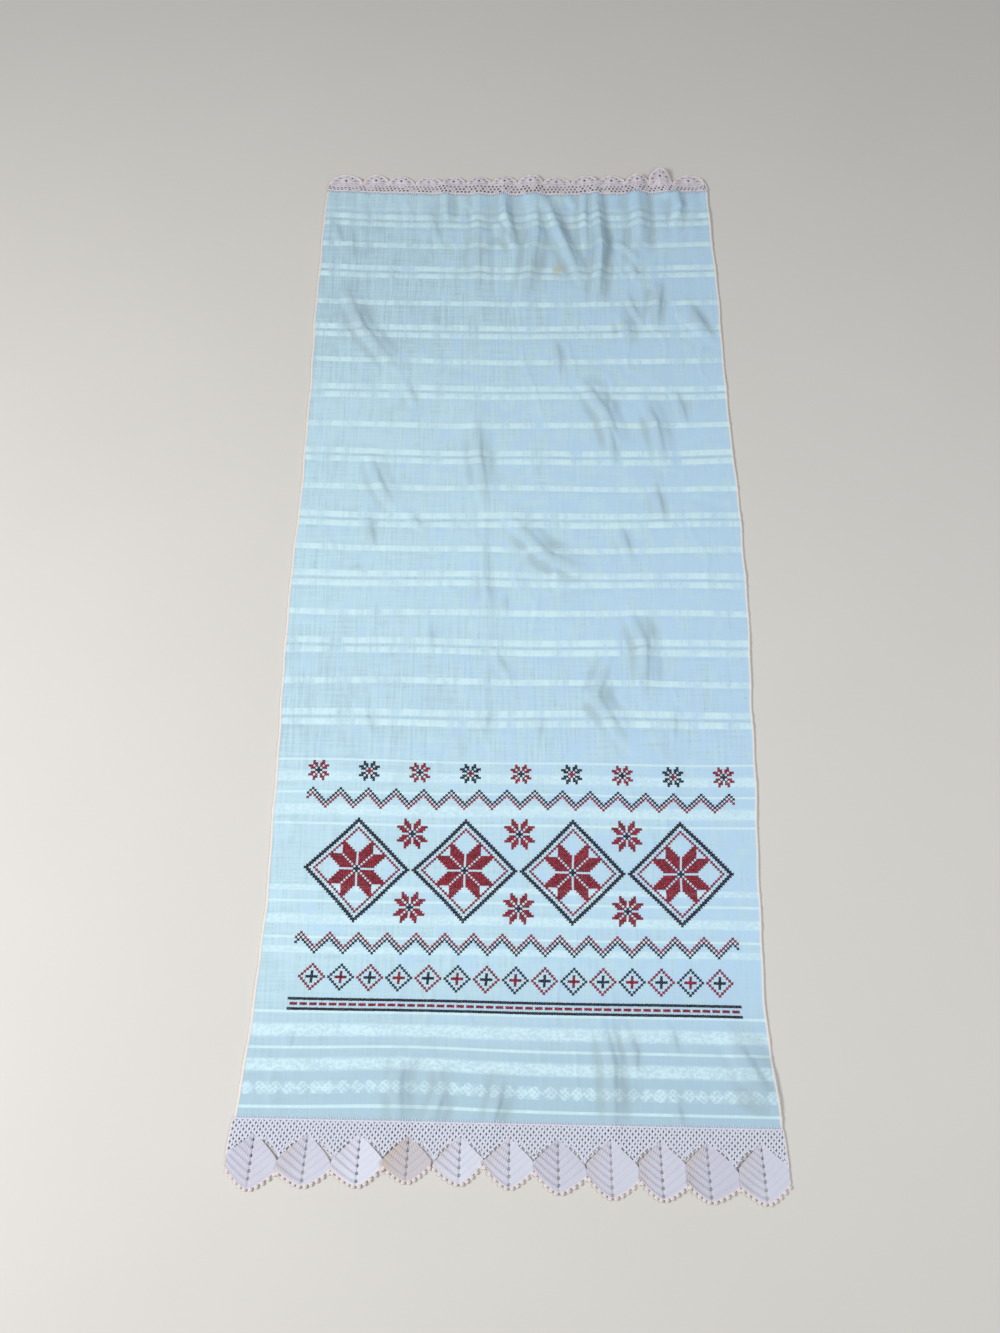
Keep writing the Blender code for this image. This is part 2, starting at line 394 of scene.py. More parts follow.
        # Painted shade: the furrows between and under the stripes are darkened.
        furrow = paint.value("furrow") * (weave.tufts.step(0.3, 0.7) * 0.5 + 0.08)
        fold_shade_share = self.fold_shade_share - weave.along.step(*self.top_end) * (self.fold_shade_share - self.top_fold_shade_share)
        layers = (
            (stripe, self.stripe),
            (mottled, self.mottle),
            (rosette, self.mottle),
            (furrow, self.shade),
            (paint.value("selvedge").step(0.0, 0.4), self.selvedge),
            (self.stain_share(weave) * 0.7, self.stain),
            # The last two layers are painted shade: over the folds, and in the hollows.
            (paint.value("ruffled").step(0.0, 0.9) * fold_shade_share, self.fold_shade),
            (paint.value("hollow_shade").step(0.0, 1.0) * 0.35, self.hollow_shade),
        )
        colour = self.ground_colour(weave)
        for share, over in layers:
            colour = paint.mix(share, colour, over)
        relief = weave.checker(2 * self.threads_per_mm) * 0.1 + weave.warp_streaks * 0.3
        relief = relief + weave.weft_slubs * 0.35 + (stripe + mottled + rosette) * 0.5
        paint.finish(colour, relief, self.relief_depth)
        return paint.material


@dataclass(frozen=True)
class YarnFinish:
    """Crochet cotton with a twist: lilac white, pinkish at the worked edges, with painted light on its
    crests and painted shade in its hollows.
    """

    name: str = "lace_yarn"
    # Painted light and shade: crests take the light colour, undersides and grooves the dark one.
    light: Colour = screen(215, 218, 232)
    dark: Colour = screen(180, 178, 195)
    edge: Colour = screen(234, 220, 216)
    # Painted shade: the beige of a leaf's curled side, also each leaf's own tint.
    curl_shade_and_tint: Colour = screen(201, 186, 176)
    twist_mm: float = 1.1
    relief_depth: float = 0.00025

    def material(self) -> bpy.types.Material:
        """The twist is a sine along the yarn, turned with the angle round it. The mesh's own values
        say where the yarn is a crest lit by painted light, an edge, dulled, or tinted beige by painted
        shade and its own tint.

        Returns:
            The material.
        """
        paint = Paint(self.name, 0.85, 0.15)
        twist = paint.value("along") * (2 * math.pi / self.twist_mm)
        cosine = (twist + math.pi / 2).sine()
        ply = twist.sine() * paint.value("turn_x") + cosine * paint.value("turn_y")
        fuzz = paint.noise((900.0, 900.0, 900.0))
        patches = paint.noise((45.0, 45.0, 45.0), 2.0, 0.55)
        # Painted light on the crests and painted shade in the hollows.
        lit = paint.value("crest") + (fuzz - 0.5) * 0.5 + (patches - 0.5) * 0.5
        colour = paint.mix(lit.step(0.0, 1.0), self.dark, self.light)
        colour = paint.mix(paint.value("dull"), colour, self.dark)
        colour = paint.mix(paint.value("edge").step(0.1, 1.0) * 0.8, colour, self.edge)
        # Painted shade where a leaf's side curls up, with each leaf's own beige tint.
        colour = paint.mix(paint.value("curl_shade_and_tint") * 0.7, colour, self.curl_shade_and_tint)
        paint.finish(colour, ply * 0.25 + fuzz * 0.7 + 0.5, self.relief_depth)
        return paint.material


@dataclass(frozen=True)
class StitchFinish:
    """Embroidery cotton: one deep colour that each stitch holds a little lighter or darker."""

    name: str
    deep: Colour
    bright: Colour
    twist_mm: float = 0.5
    relief_depth: float = 0.00015

    def material(self) -> bpy.types.Material:
        """Each stitch has its own tone, and its ply is a sine along it.

        Returns:
            The material.
        """
        paint = Paint(self.name, 0.62, 0.2)
        twist = paint.value("along") * (2 * math.pi / self.twist_mm)
        ply = (twist + paint.value("turn_x") * 1.5).sine()
        fuzz = paint.noise((1500.0, 1500.0, 1500.0), 2.0)
        tone = (paint.value("tone") + (fuzz - 0.5) * 0.5).step(0.0, 1.0)
        colour = paint.mix(tone, self.deep, self.bright)
        paint.finish(colour, ply * 0.25 + fuzz * 0.5, self.relief_depth)
        return paint.material


@dataclass(frozen=True)
class FloorFinish:
    """A plain pale floor."""

    high: Colour = screen(214, 211, 206)
    low: Colour = screen(209, 206, 201)

    def material(self) -> bpy.types.Material:
        """A matt colour that varies by a hair.

        Returns:
            The material.
        """
        paint = Paint("floor", 0.9)
        patches = paint.noise((6.0, 6.0, 6.0), 4.0, 0.55)
        paint.finish(paint.mix(patches, self.low, self.high))
        return paint.material


class Shape:
    """Points, faces and point values of a mesh in the making."""

    def __init__(self, points: Array, faces: list[Array], values: dict[str, Array]) -> None:
        """Keeps the arrays.

        Args:
            points: one row of x, y and z in millimetres for each point.
            faces: arrays of point numbers, one row for each face.
            values: one number for each point, by name.
        """
        self.points = points
        self.faces = faces
        self.values = values

    @staticmethod
    def join(shapes: list["Shape"]) -> "Shape":
        """Several shapes as one.

        Args:
            shapes: the shapes, each of which holds all values that the first one has.

        Returns:
            Their points, their faces and the values that the first one has.
        """
        starts = np.cumsum([0] + [len(shape.points) for shape in shapes])
        faces = [face + start for shape, start in zip(shapes, starts) for face in shape.faces]
        names = shapes[0].values
        values = {name: np.concatenate([shape.values[name] for shape in shapes]) for name in names}
        return Shape(np.concatenate([shape.points for shape in shapes]), faces, values)

    def make(self, name: str, material: bpy.types.Material) -> bpy.types.Object:
        """Makes the object. Points that no face uses are left out.

        Args:
            name: the piece's name.
            material: its finish.

        Returns:
            The object, at the origin, with its place in its mesh.
        """
        corners = np.concatenate([face.reshape(-1) for face in self.faces])
        sides = np.concatenate([np.full(len(face), face.shape[1]) for face in self.faces])
        used, corners = np.unique(corners, return_inverse=True)
        mesh = bpy.data.meshes.new(name)
        mesh.vertices.add(len(used))
        mesh.vertices.foreach_set("co", (self.points[used] * MM).astype(np.float32).reshape(-1))
        mesh.loops.add(len(corners))
        mesh.loops.foreach_set("vertex_index", corners.reshape(-1).astype(np.int32))
        mesh.polygons.add(len(sides))
        starts = np.concatenate(([0], np.cumsum(sides)[:-1])).astype(np.int32)
        mesh.polygons.foreach_set("loop_start", starts)
        mesh.update(calc_edges=True)
        for label, numbers in self.values.items():
            attribute = mesh.attributes.new(label, "FLOAT", "POINT")
            attribute.data.foreach_set("value", numbers[used].astype(np.float32))
        mesh.materials.append(material)
        mesh.shade_smooth()
        piece = bpy.data.objects.new(name, mesh)
        bpy.context.scene.collection.objects.link(piece)
        LOG.info("%s: %d triangles", name, (sides - 2).sum())
        return piece


def grid_faces(rows: int, columns: int, keep: Array, flipped: bool) -> Array:
    """The four-sided faces of the kept cells of a grid.

    Args:
        rows: points up the grid.
        columns: points across it.
        keep: which cells are kept.
        flipped: whether the faces look down.

    Returns:
        One row of four point numbers for each face.
    """
    index = np.arange(rows * columns).reshape(rows, columns)
    corners = [index[:-1, :-1], index[:-1, 1:], index[1:, 1:], index[1:, :-1]]
    if flipped:
        corners.reverse()
    return np.stack(corners, axis=-1)[keep]


def wall_faces(rows: int, columns: int, keep: Array) -> Array:
    """The faces between a lower grid and an upper one, wherever a kept cell has no kept neighbour.

    Args:
        rows: points up each grid.
        columns: points across it.
        keep: which cells are kept.

    Returns:
        One row of four point numbers for each face; the upper grid's points follow the lower one's.
    """
    index = np.arange(rows * columns).reshape(rows, columns)
    around = np.pad(keep, 1)
    low_left, low_right = index[:-1, :-1], index[:-1, 1:]
    high_left, high_right = index[1:, :-1], index[1:, 1:]
    edges = (
        (around[:-2, 1:-1], low_left, low_right),
        (around[1:-1, 2:], low_right, high_right),
        (around[2:, 1:-1], high_right, high_left),
        (around[1:-1, :-2], high_left, low_left),
    )
    above = rows * columns
    walls = []
    for neighbour, start, end in edges:
        bare = keep & ~neighbour
        first, last = start[bare], end[bare]
        walls.append(np.stack((first, last, last + above, first + above), axis=-1))
    return np.concatenate(walls)


def edge_faces(high: Array, low: Array) -> Array:
    """Faces between two edges that run the same way, the lower of which may have fewer points.

    Args:
        high: the upper edge's point numbers.
        low: the lower edge's point numbers.

    Returns:
        One row of point numbers for each stretch of the lower edge.
    """
    step = (len(high) - 1) // (len(low) - 1)
    above = [high[back : len(high) - step + back : step] for back in range(step, -1, -1)]
    return np.stack((low[:-1], low[1:], *above), axis=-1)


def sheet_shape(lower: Array, upper: Array, keep: Array, values: dict[str, Array | float]) -> Shape:
    """A closed sheet between two grids of points, with openings where cells are left out.

    Args:
        lower: the underside's points.
        upper: the points of the face that shows.
        keep: which cells are kept.
        values: by name, a number for all, for each row or column or for each grid point. Both sides
            hold it.

    Returns:
        The shape.
    """
    rows, columns = lower.shape[:2]
    top = grid_faces(rows, columns, keep, False) + rows * columns
    faces = [grid_faces(rows, columns, keep, True), top, wall_faces(rows, columns, keep)]
    points = np.concatenate((lower.reshape(-1, 3), upper.reshape(-1, 3)))
    whole = {name: np.broadcast_to(value, (rows, columns)) for name, value in values.items()}
    return Shape(points, faces, {name: np.tile(value.reshape(-1), 2) for name, value in whole.items()})


def open_holes(layers: list[Array], keep: Array, rows: Array, columns: Array, radius: float) -> None:
    """Opens a round hole at each given grid point: its four cells go, and all points nearby move
    straight out from it, those next to it onto the hole's rim and those at its reach not at all.

    Args:
        layers: grids of points, changed in place.
        keep: which cells are kept, changed in place.
        rows: the holes' rows.
        columns: the holes' columns.
        radius: the holes' radius.
    """
    reach = 2.2 * radius
    for row, column in zip(rows, columns):
        for points in layers:
            away = points[..., :2] - points[row, column, :2]
            length = np.linalg.norm(away, axis=-1, keepdims=True)
            near = (length < reach) & (length > 0)
            growth = np.where(near, radius / np.where(near, length, 1.0) - radius / reach, 0.0)
            points[..., :2] += away * growth
        keep[row - 1 : row + 1, column - 1 : column + 1] = False


def yarns(
    paths: Array,
    radius: Array | float,
    sides: int,
    flatness: float,
    closed: bool = False,
    **values: Array | float,
) -> Shape:
    """Yarns of one length of path: a ring of points round each path point, in the plane across the
    path, as wide as the radius and as high as the radius times flatness.

    Args:
        paths: path points, as yarns by points by xyz.
        radius: the yarn's radius, for all or for each point.
        sides: points round each ring.
        flatness: the ring's height over its width.
        closed: whether each path is a loop, whose last point isn't its first.
        values: further numbers for each yarn's points, by name.

    Returns:
        All yarns as one shape.
    """
    count, steps = paths.shape[:2]
    if closed:
        way = np.roll(paths, -1, axis=1) - np.roll(paths, 1, axis=1)
    else:
        way = np.gradient(paths, axis=1)
    way = way / np.linalg.norm(way, axis=-1, keepdims=True)
    side = np.cross(way, (0.0, 0.0, 1.0))
    side = side / np.linalg.norm(side, axis=-1, keepdims=True)
    rise = np.cross(side, way)
    angle = np.arange(sides) * (2 * np.pi / sides)
    wide = np.broadcast_to(np.asarray(radius, float), (count, steps))[..., None, None]
    out = side[:, :, None] * np.cos(angle)[:, None] + rise[:, :, None] * np.sin(angle)[:, None] * flatness
    points = paths[:, :, None] + out * wide
    index = np.arange(count * steps * sides).reshape(count, steps, sides)
    ahead = np.roll(index, -1, axis=1) if closed else index[:, 1:]
    here = index if closed else index[:, :-1]
    quads = np.stack((here, ahead, np.roll(ahead, -1, axis=2), np.roll(here, -1, axis=2)), axis=-1)
    faces = [quads.reshape(-1, 4)]
    if not closed:
        faces += [index[:, 0], index[:, -1, ::-1]]
    step_length = np.linalg.norm(np.diff(paths, axis=1, prepend=paths[:, :1]), axis=-1)
    # The crest value is painted light and shade: each yarn is lighter on top and darker underneath.
    made = {
        "along": np.cumsum(step_length, axis=1)[..., None],
        "turn_x": np.cos(angle),
        "turn_y": np.sin(angle),
        "crest": 0.5 + 0.5 * np.sin(angle),
        "edge": 0.0,
        **values,
    }
    whole = {name: np.broadcast_to(value, (count, steps, sides)) for name, value in made.items()}
    return Shape(points.reshape(-1, 3), faces, {name: value.reshape(-1) for name, value in whole.items()})


def chain(path: Array, radius: float, least: float, turn: Array, pink: float) -> Shape:
    """A crocheted chain: a yarn that swells with the sine of a turn, once for each stitch.

    Args:
        path: its points.
        radius: the yarn's radius.
        least: the share of the radius that it keeps between stitches.
        turn: how far round its stitches each point is.
        pink: how far it takes the edge's colour.

    Returns:
        The chain.
    """
    swell = radius * (least + 0.3 * np.abs(np.sin(turn)))
    return yarns(path[None], swell[None], 6, 0.9, edge=pink)


@dataclass(frozen=True)
class Fold:
    """A soft ridge along a bent line. Its right side can be steeper than its left."""

    start: Pair
    middle: Pair
    end: Pair
    half_width: float
    rises: Triple
    steep_width: float | None = None

    def height(self, x: Array, y: Array) -> Array:
        """The rise runs along two straight stretches, and a squared cosine fades it on either side.

        Args:
            x: places across the towel.
            y: places up the towel.

        Returns:
            The fold's height there.
        """
        points = (self.start, self.middle, self.end)
        nearest = np.full(np.shape(x), np.inf)
        rise = np.zeros(np.shape(x))
        right = np.zeros(np.shape(x), bool)
        for index in (0, 1):
            (x0, y0), (x1, y1) = points[index], points[index + 1]
            run_x, run_y = x1 - x0, y1 - y0
            share = ((x - x0) * run_x + (y - y0) * run_y) / (run_x**2 + run_y**2)
            share = np.clip(share, 0.0, 1.0)
            away_x, away_y = x - x0 - share * run_x, y - y0 - share * run_y
            away = np.hypot(away_x, away_y)
            closer = away < nearest
            here = self.rises[index] + share * (self.rises[index + 1] - self.rises[index])
            rise = np.where(closer, here, rise)
            right = np.where(closer, run_x * away_y - run_y * away_x > 0, right)
            nearest = np.minimum(nearest, away)
        width = np.where(right, self.steep_width or self.half_width, self.half_width)
        across = np.clip(nearest / width, 0.0, 1.0)
        return rise * np.cos(across * np.pi / 2) ** 2


FOLDS = (
    Fold((87, 520), (92, 413), (86, 345), 11, (2.0, 7.0, 1.0)),
    Fold((77, 520), (76, 453), (77, 405), 8, (2.0, 3.0, 0.5)),
    Fold((34, 476), (49, 431), (71, 376), 12, (2.5, 5.0, 1.5)),
    Fold((20, 510), (24, 433), (8, 337), 15, (2.0, 4.5, 1.0)),
    Fold((-12, 505), (-9, 456), (2, 414), 9, (2.0, 4.0, 0.5)),
    Fold((-37, 500), (-37, 406), (-36, 333), 16, (1.5, 2.2, 0.5)),
    Fold((-73, 500), (-71, 464), (-71, 442), 11, (1.5, 2.2, 0.4)),
    Fold((135, 515), (136, 442), (130, 400), 15, (3.0, 4.5, 1.0)),
    Fold((164, 522), (163, 500), (168, 470), 11, (6.5, 3.0, 0.5)),
    Fold((177, 500), (178, 472), (174, 445), 10, (1.5, 3.0, 0.5)),
    Fold((-179, 370), (-157, 314), (-117, 260), 15, (0.5, 3.0, 0.8)),
    Fold((107, 335), (115, 313), (114, 290), 12, (0.5, 2.5, 0.3)),
    Fold((172, 333), (186, 315), (200, 296), 13, (0.5, 2.5, 0.3)),
    Fold((68, 250), (91, 211), (103, 175), 15, (0.5, 3.0, 0.5)),
    Fold((134, 222), (141, 196), (149, 148), 14, (0.5, 2.5, 0.5)),
    Fold((-37, 204), (-36, 162), (-26, 103), 16, (0.5, 2.0, 0.5)),
    Fold((-5, 96), (28, 53), (68, 34), 16, (0.5, 2.5, 0.5)),
    Fold((-141, 160), (-131, 129), (-115, 100), 15, (0.4, 2.0, 0.4)),
    Fold((108, -5), (120, -42), (118, -95), 15, (0.4, 2.5, 0.5)),
    Fold((88, -60), (72, -92), (104, -142), 14, (0.4, 2.2, 0.4)),
    Fold((170, -382), (192, -419), (208, -440), 20, (0.5, 4.0, 1.0)),
    Fold((71, -376), (77, -410), (77, -462), 12, (0.4, 2.6, 1.0)),
    Fold((-93, -405), (-97, -426), (-94, -458), 12, (0.4, 2.2, 1.2)),
    Fold((-12, -425), (-17, -442), (-22, -460), 11, (0.4, 2.2, 1.0)),
    Fold((-55, -428), (-62, -438), (-69, -456), 11, (0.4, 2.2, 1.0)),
)

# Sharper creases of the cloth alone, each steep on its right.
CREASES = (
    Fold((90, 468), (93, 413), (88, 352), 15, (0.8, 4.0, 0.5), 3.6),
    Fold((77, 482), (76, 453), (77, 420), 11, (0.8, 2.0, 0.4), 2.5),
    Fold((36, 478), (50, 431), (70, 376), 14, (0.8, 2.8, 0.6), 3.0),
    Fold((60, 486), (62, 478), (68, 468), 9, (0.6, 2.0, 0.3), 2.5),
    Fold((-12, 486), (-8, 456), (4, 412), 14, (0.8, 2.4, 0.4), 3.0),
    Fold((-20, 450), (-6, 430), (4, 410), 11, (0.3, 1.9, 0.3), 2.5),
    Fold((23, 486), (26, 433), (12, 345), 14, (0.8, 1.8, 0.4), 3.5),
    Fold((-37, 482), (-38, 420), (-36, 350), 12, (0.6, 1.4, 0.3), 3.0),
    Fold((-71, 484), (-72, 462), (-70, 446), 11, (0.8, 2.0, 0.3), 3.0),
    Fold((-94, 470), (-84, 440), (-74, 406), 11, (0.3, 1.6, 0.2), 3.0),
    Fold((131, 488), (133, 452), (135, 416), 12, (2.6, 3.0, 0.5), 9.0),
    Fold((177, 492), (180, 470), (175, 450), 12, (1.0, 2.6, 0.5), 2.5),
    Fold((-178, 368), (-157, 314), (-119, 262), 14, (0.4, 1.8, 0.4), 3.0),
    Fold((-194, 452), (-186, 430), (-178, 408), 11, (0.3, 1.4, 0.2), 3.0),
    Fold((-176, 446), (-172, 418), (-170, 396), 11, (0.3, 1.3, 0.2), 3.0),
    Fold((104, 426), (122, 412), (138, 396), 9, (0.3, 1.7, 0.2), 2.5),
    Fold((120, 396), (127, 384), (133, 374), 9, (0.3, 2.0, 0.2), 2.5),
    Fold((118, 356), (124, 336), (134, 314), 9, (0.3, 1.7, 0.2), 2.5),
    Fold((155, 374), (150, 344), (146, 312), 14, (0.4, 3.0, 0.4), 3.5),
    Fold((180, 346), (192, 322), (204, 300), 12, (0.3, 2.3, 0.3), 3.0),
    Fold((68, 250), (91, 211), (103, 178), 14, (0.4, 2.2, 0.4), 3.0),
    Fold((132, 222), (141, 196), (148, 150), 12, (0.3, 1.9, 0.3), 2.8),
    Fold((90, 200), (96, 175), (98, 148), 11, (0.3, 2.0, 0.3), 2.8),
    Fold((160, 240), (168, 214), (172, 190), 11, (0.3, 1.7, 0.2), 2.8),
    Fold((136, 132), (140, 108), (144, 80), 11, (0.3, 2.2, 0.3), 2.8),
    Fold((40, 300), (46, 276), (44, 250), 11, (0.3, 1.6, 0.2), 2.8),
    Fold((-6, 96), (28, 53), (68, 34), 12, (0.3, 2.0, 0.3), 2.8),
    Fold((100, 84), (106, 64), (110, 43), 11, (0.3, 1.9, 0.2), 2.8),
    Fold((-36, 202), (-35, 162), (-26, 103), 12, (0.3, 2.0, 0.3), 3.0),
    Fold((-30, 116), (-27, 32), (-26, -96), 10, (0.2, 0.9, 0.2), 2.5),
    Fold((-10, 12), (-10, 0), (-9, -11), 9, (0.2, 1.3, 0.2), 2.5),
    Fold((-143, 162), (-132, 129), (-117, 104), 11, (0.3, 2.0, 0.3), 2.8),
    Fold((-112, 250), (-104, 232), (-98, 216), 11, (0.2, 1.4, 0.2), 2.8),
    Fold((-142, 98), (-139, 74), (-132, 54), 11, (0.3, 1.9, 0.3), 2.5),
    Fold((-106, 97), (-96, 88), (-87, 79), 9, (0.3, 1.4, 0.2), 2.5),
    Fold((-82, -20), (-79, -34), (-78, -46), 9, (0.2, 1.3, 0.2), 2.5),
    Fold((-22, -46), (-12, -62), (-2, -82), 9, (0.2, 1.4, 0.2), 2.5),
    Fold((-137, -100), (-134, -116), (-129, -130), 9, (0.2, 1.3, 0.2), 2.5),
    Fold((-24, -98), (-27, -114), (-29, -130), 9, (0.2, 1.3, 0.2), 2.5),
    Fold((22, -110), (21, -124), (20, -138), 9, (0.2, 1.3, 0.2), 2.5),
    Fold((108, -8), (120, -42), (118, -92), 12, (0.3, 2.3, 0.3), 3.0),
    Fold((87, -60), (73, -92), (102, -141), 11, (0.3, 2.0, 0.3), 2.8),
    Fold((143, -106), (142, -120), (141, -134), 9, (0.2, 1.4, 0.2), 2.5),
    Fold((-184, -382), (-186, -390), (-187, -399), 9, (0.2, 1.4, 0.2), 2.5),
    Fold((-93, -408), (-97, -426), (-94, -452), 11, (0.3, 1.7, 0.5), 2.8),
    Fold((-56, -429), (-63, -438), (-69, -452), 9, (0.3, 2.2, 0.5), 2.5),
    Fold((-13, -428), (-17, -442), (-21, -455), 9, (0.3, 2.2, 0.5), 2.5),
    Fold((70, -378), (77, -410), (77, -455), 12, (0.3, 2.0, 0.6), 2.8),
    Fold((86, -378), (96, -402), (94, -422), 11, (0.3, 2.0, 0.3), 2.8),
    Fold((124, -382), (128, -392), (131, -402), 9, (0.3, 1.7, 0.3), 2.5),
    Fold((126, -438), (129, -448), (131, -457), 9, (0.3, 1.7, 0.5), 2.5),
    Fold((172, -383), (192, -419), (207, -438), 16, (0.3, 2.6, 0.6), 3.5),
)


def waves(x: Array, y: Array, lengths: Pair, count: int, seed: int) -> Array:
    """Smooth noise near -1.5 to 1.5: a sum of plane waves of seeded lengths, directions and phases.

    Args:
        x: places across the towel.
        y: places up the towel.
        lengths: the shortest and the longest wave.
        count: how many waves.
        seed: the seed.

    Returns:
        The noise.
    """
    draws = np.random.default_rng(seed)
    total = np.zeros(np.shape(x))
    for _ in range(count):
        length = draws.uniform(*lengths)
        turn = draws.uniform(0, np.pi)
        phase = draws.uniform(0, 2 * np.pi)
        total = total + np.sin((x * np.cos(turn) + y * np.sin(turn)) * (2 * np.pi / length) + phase)
    return total / np.sqrt(count / 2)


def lying(x: Array, y: Array, z: Array) -> Array:
    """Grids of x, y and z as one grid of points."""
    return np.stack(np.broadcast_arrays(x, y, z), axis=-1).astype(float)


@dataclass(frozen=True)
class Drape:
    """How the whole towel lies: folds, a soft swell and small ripples where the top end is gathered."""

    swell: float = 0.2
    swell_lengths: Pair = (38.0, 130.0)
    swell_waves: int = 14
    swell_seed: int = 7
    ripple: float = 0.7
    ripple_length: float = 17.0
    ripple_reach: float = 75.0
    ripple_bend: float = 1.3
    ripple_bend_length: float = 23.0
    ripple_slant: float = 0.02
    middle_swell: float = 1.5

    def height(self, x: Array, y: Array) -> Array:
        """The sum of the folds, the swell, and ripples that fade down from the top end. It is never
        below zero.

        Args:
            x: places across the towel.
            y: places up the towel.

        Returns:
            The underside's height there.
        """
        swell = waves(x, y, self.swell_lengths, self.swell_waves, self.swell_seed)
        total = self.swell * (self.middle_swell + swell)
        near_top = np.exp(-np.clip(top_y(x) - y, 0.0, None) / self.ripple_reach)
        bend = self.ripple_bend * np.sin(x / self.ripple_bend_length)
        phase = x * (2 * np.pi / self.ripple_length) + bend + self.ripple_slant * (y - x)
        total = total + self.ripple * near_top * (1 + np.sin(phase)) * 0.5
        total = np.maximum(total, 0.0)
        for fold in FOLDS:
            total = total + fold.height(x, y)
        return total

    def points(self, x: Array, y: Array, above: Array | float) -> Array:
        """The points so far above the underside's height at each place."""
        return lying(x, y, self.height(x, y) + above)


@dataclass(frozen=True)
class Station:
    """Where the cloth's two long edges lie at one height."""

    y: float
    left: float
    right: float


EDGES = (
    Station(-463.0, -228.6, 211.9),
    Station(-452.0, -228.2, 210.6),
    Station(-407.0, -223.6, 206.6),
    Station(-360.0, -219.0, 204.7),
    Station(-277.0, -214.9, 207.1),
    Station(-189.0, -214.1, 211.4),
    Station(-96.0, -214.2, 214.2),
    Station(4.0, -214.2, 218.1),
    Station(111.0, -209.4, 217.4),
    Station(225.0, -207.3, 213.6),
    Station(348.0, -207.1, 213.7),
    Station(450.0, -204.6, 211.2),
    Station(495.0, -202.0, 209.8),
)
HEM_MIDDLE_Y = -456.0
HEM_SLOPE = -0.0205
TOP_MIDDLE_Y = 486.0
TOP_MIDDLE_X = 10.0
TOP_HALF_WIDTH = 205.0
TOP_SAG = 6.0
EDGE_WAVER = 0.3
EDGE_EASE = 12.0


def hem_y(x: Array | float) -> Array | float:
    """The hem's line: a straight one that falls to the right."""
    return HEM_MIDDLE_Y + HEM_SLOPE * x


def top_y(x: Array | float) -> Array | float:
    """The line of the top end: a parabola that is lowest near the middle."""
    return TOP_MIDDLE_Y + TOP_SAG * ((x - TOP_MIDDLE_X) / TOP_HALF_WIDTH) ** 2


def edge_x(y: Array | float) -> tuple[Array, Array]:
    """The cloth's left and right edges: straight between stations and eased past each, with a small
    waver.

    Args:
        y: heights up the towel.

    Returns:
        The two edges there.
    """
    stations = [station.y for station in EDGES]
    sides = []
    for places in ([station.left for station in EDGES], [station.right for station in EDGES]):
        below, here, above = (np.interp(y + shift * EDGE_EASE, stations, places) for shift in (-1, 0, 1))
        waver = EDGE_WAVER * (np.sin(y / 8.3 + places[0]) + np.sin(y / 21.0 - places[1]))
        sides.append((below + 2 * here + above) / 4 + waver)
    return sides[0], sides[1]


HEM_LEFT, HEM_RIGHT = edge_x(HEM_MIDDLE_Y)
TOP_LEFT, TOP_RIGHT = edge_x(TOP_MIDDLE_Y)
CLOTH_LENGTH = float(top_y(0.0) - hem_y(0.0))


def rising(place: Array, start: float, end: float) -> Array:
    """A straight rise from 0 at one place to 1 at another, or a fall where the first lies higher."""
    return np.clip((place - start) / (end - start), 0, 1)


def spread_out(grid: Array, up: int, right: int) -> Array:
    """Each number's mean with the eight that lie so many rows and columns away.

    Args:
        grid: the numbers.
        up: rows.
        right: columns.

    Returns:
        The means.
    """
    rows, columns = grid.shape
    around = np.pad(grid, ((up, up), (right, right)), mode="edge")
    steps = [(i, j) for i in (0, up, 2 * up) for j in (0, right, 2 * right)]
    return sum(around[i : i + rows, j : j + columns] for i, j in steps) / len(steps)


def up_from(points: Array) -> Array:
    """Unit normals of a grid whose rows run up and whose columns run right.

    Args:
        points: the grid.

    Returns:
        The cross product of the two grid directions, made one long.
    """
    normals = np.cross(np.gradient(points, axis=1), np.gradient(points, axis=0))
    return normals / np.linalg.norm(normals, axis=-1, keepdims=True)


@dataclass(frozen=True)
class Stripe:
    """One woven band: the height of its middle at the left edge, its width and its make."""

    y: float
    width: float
    make: Band = Band.PLAIN
    strength: float = 1.0


PAIR_SPACING = 9.6
STRIPE_WIDTH = 7.0
FURROW_WIDTH = 2.6


def upper_stripes() -> list[Stripe]:
    """Three close stripes at the top, then single ones and pairs by turns.

    Returns:
        The stripes.
    """
    stripes = [Stripe(472.0, 5.0, strength=0.12), Stripe(461.1, 7.5), Stripe(451.3, 7.5)]
    stripes += [Stripe(y, FURROW_WIDTH, Band.FURROW) for y in (467.0, 455.4, 445.4)]
    singles = (423.0, 348.0, 276.0, 199.5, 127.5, 61.0, -5.5, -75.0)
    pairs = (388.3, 312.6, 238.4, 163.0, 92.6, 29.0, -39.8, -110.0)
    stripes += [Stripe(y, STRIPE_WIDTH) for y in singles]
    stripes += [Stripe(y - 4.2, 2.0, Band.FURROW, 0.5) for y in singles]
    stripes += [Stripe(y + half * PAIR_SPACING / 2, 7.3) for y in pairs for half in (-1, 1)]
    stripes += [Stripe(y, FURROW_WIDTH, Band.FURROW) for y in pairs]
    stripes += [Stripe(y - PAIR_SPACING, 2.0, Band.FURROW, 0.5) for y in pairs]
    return stripes


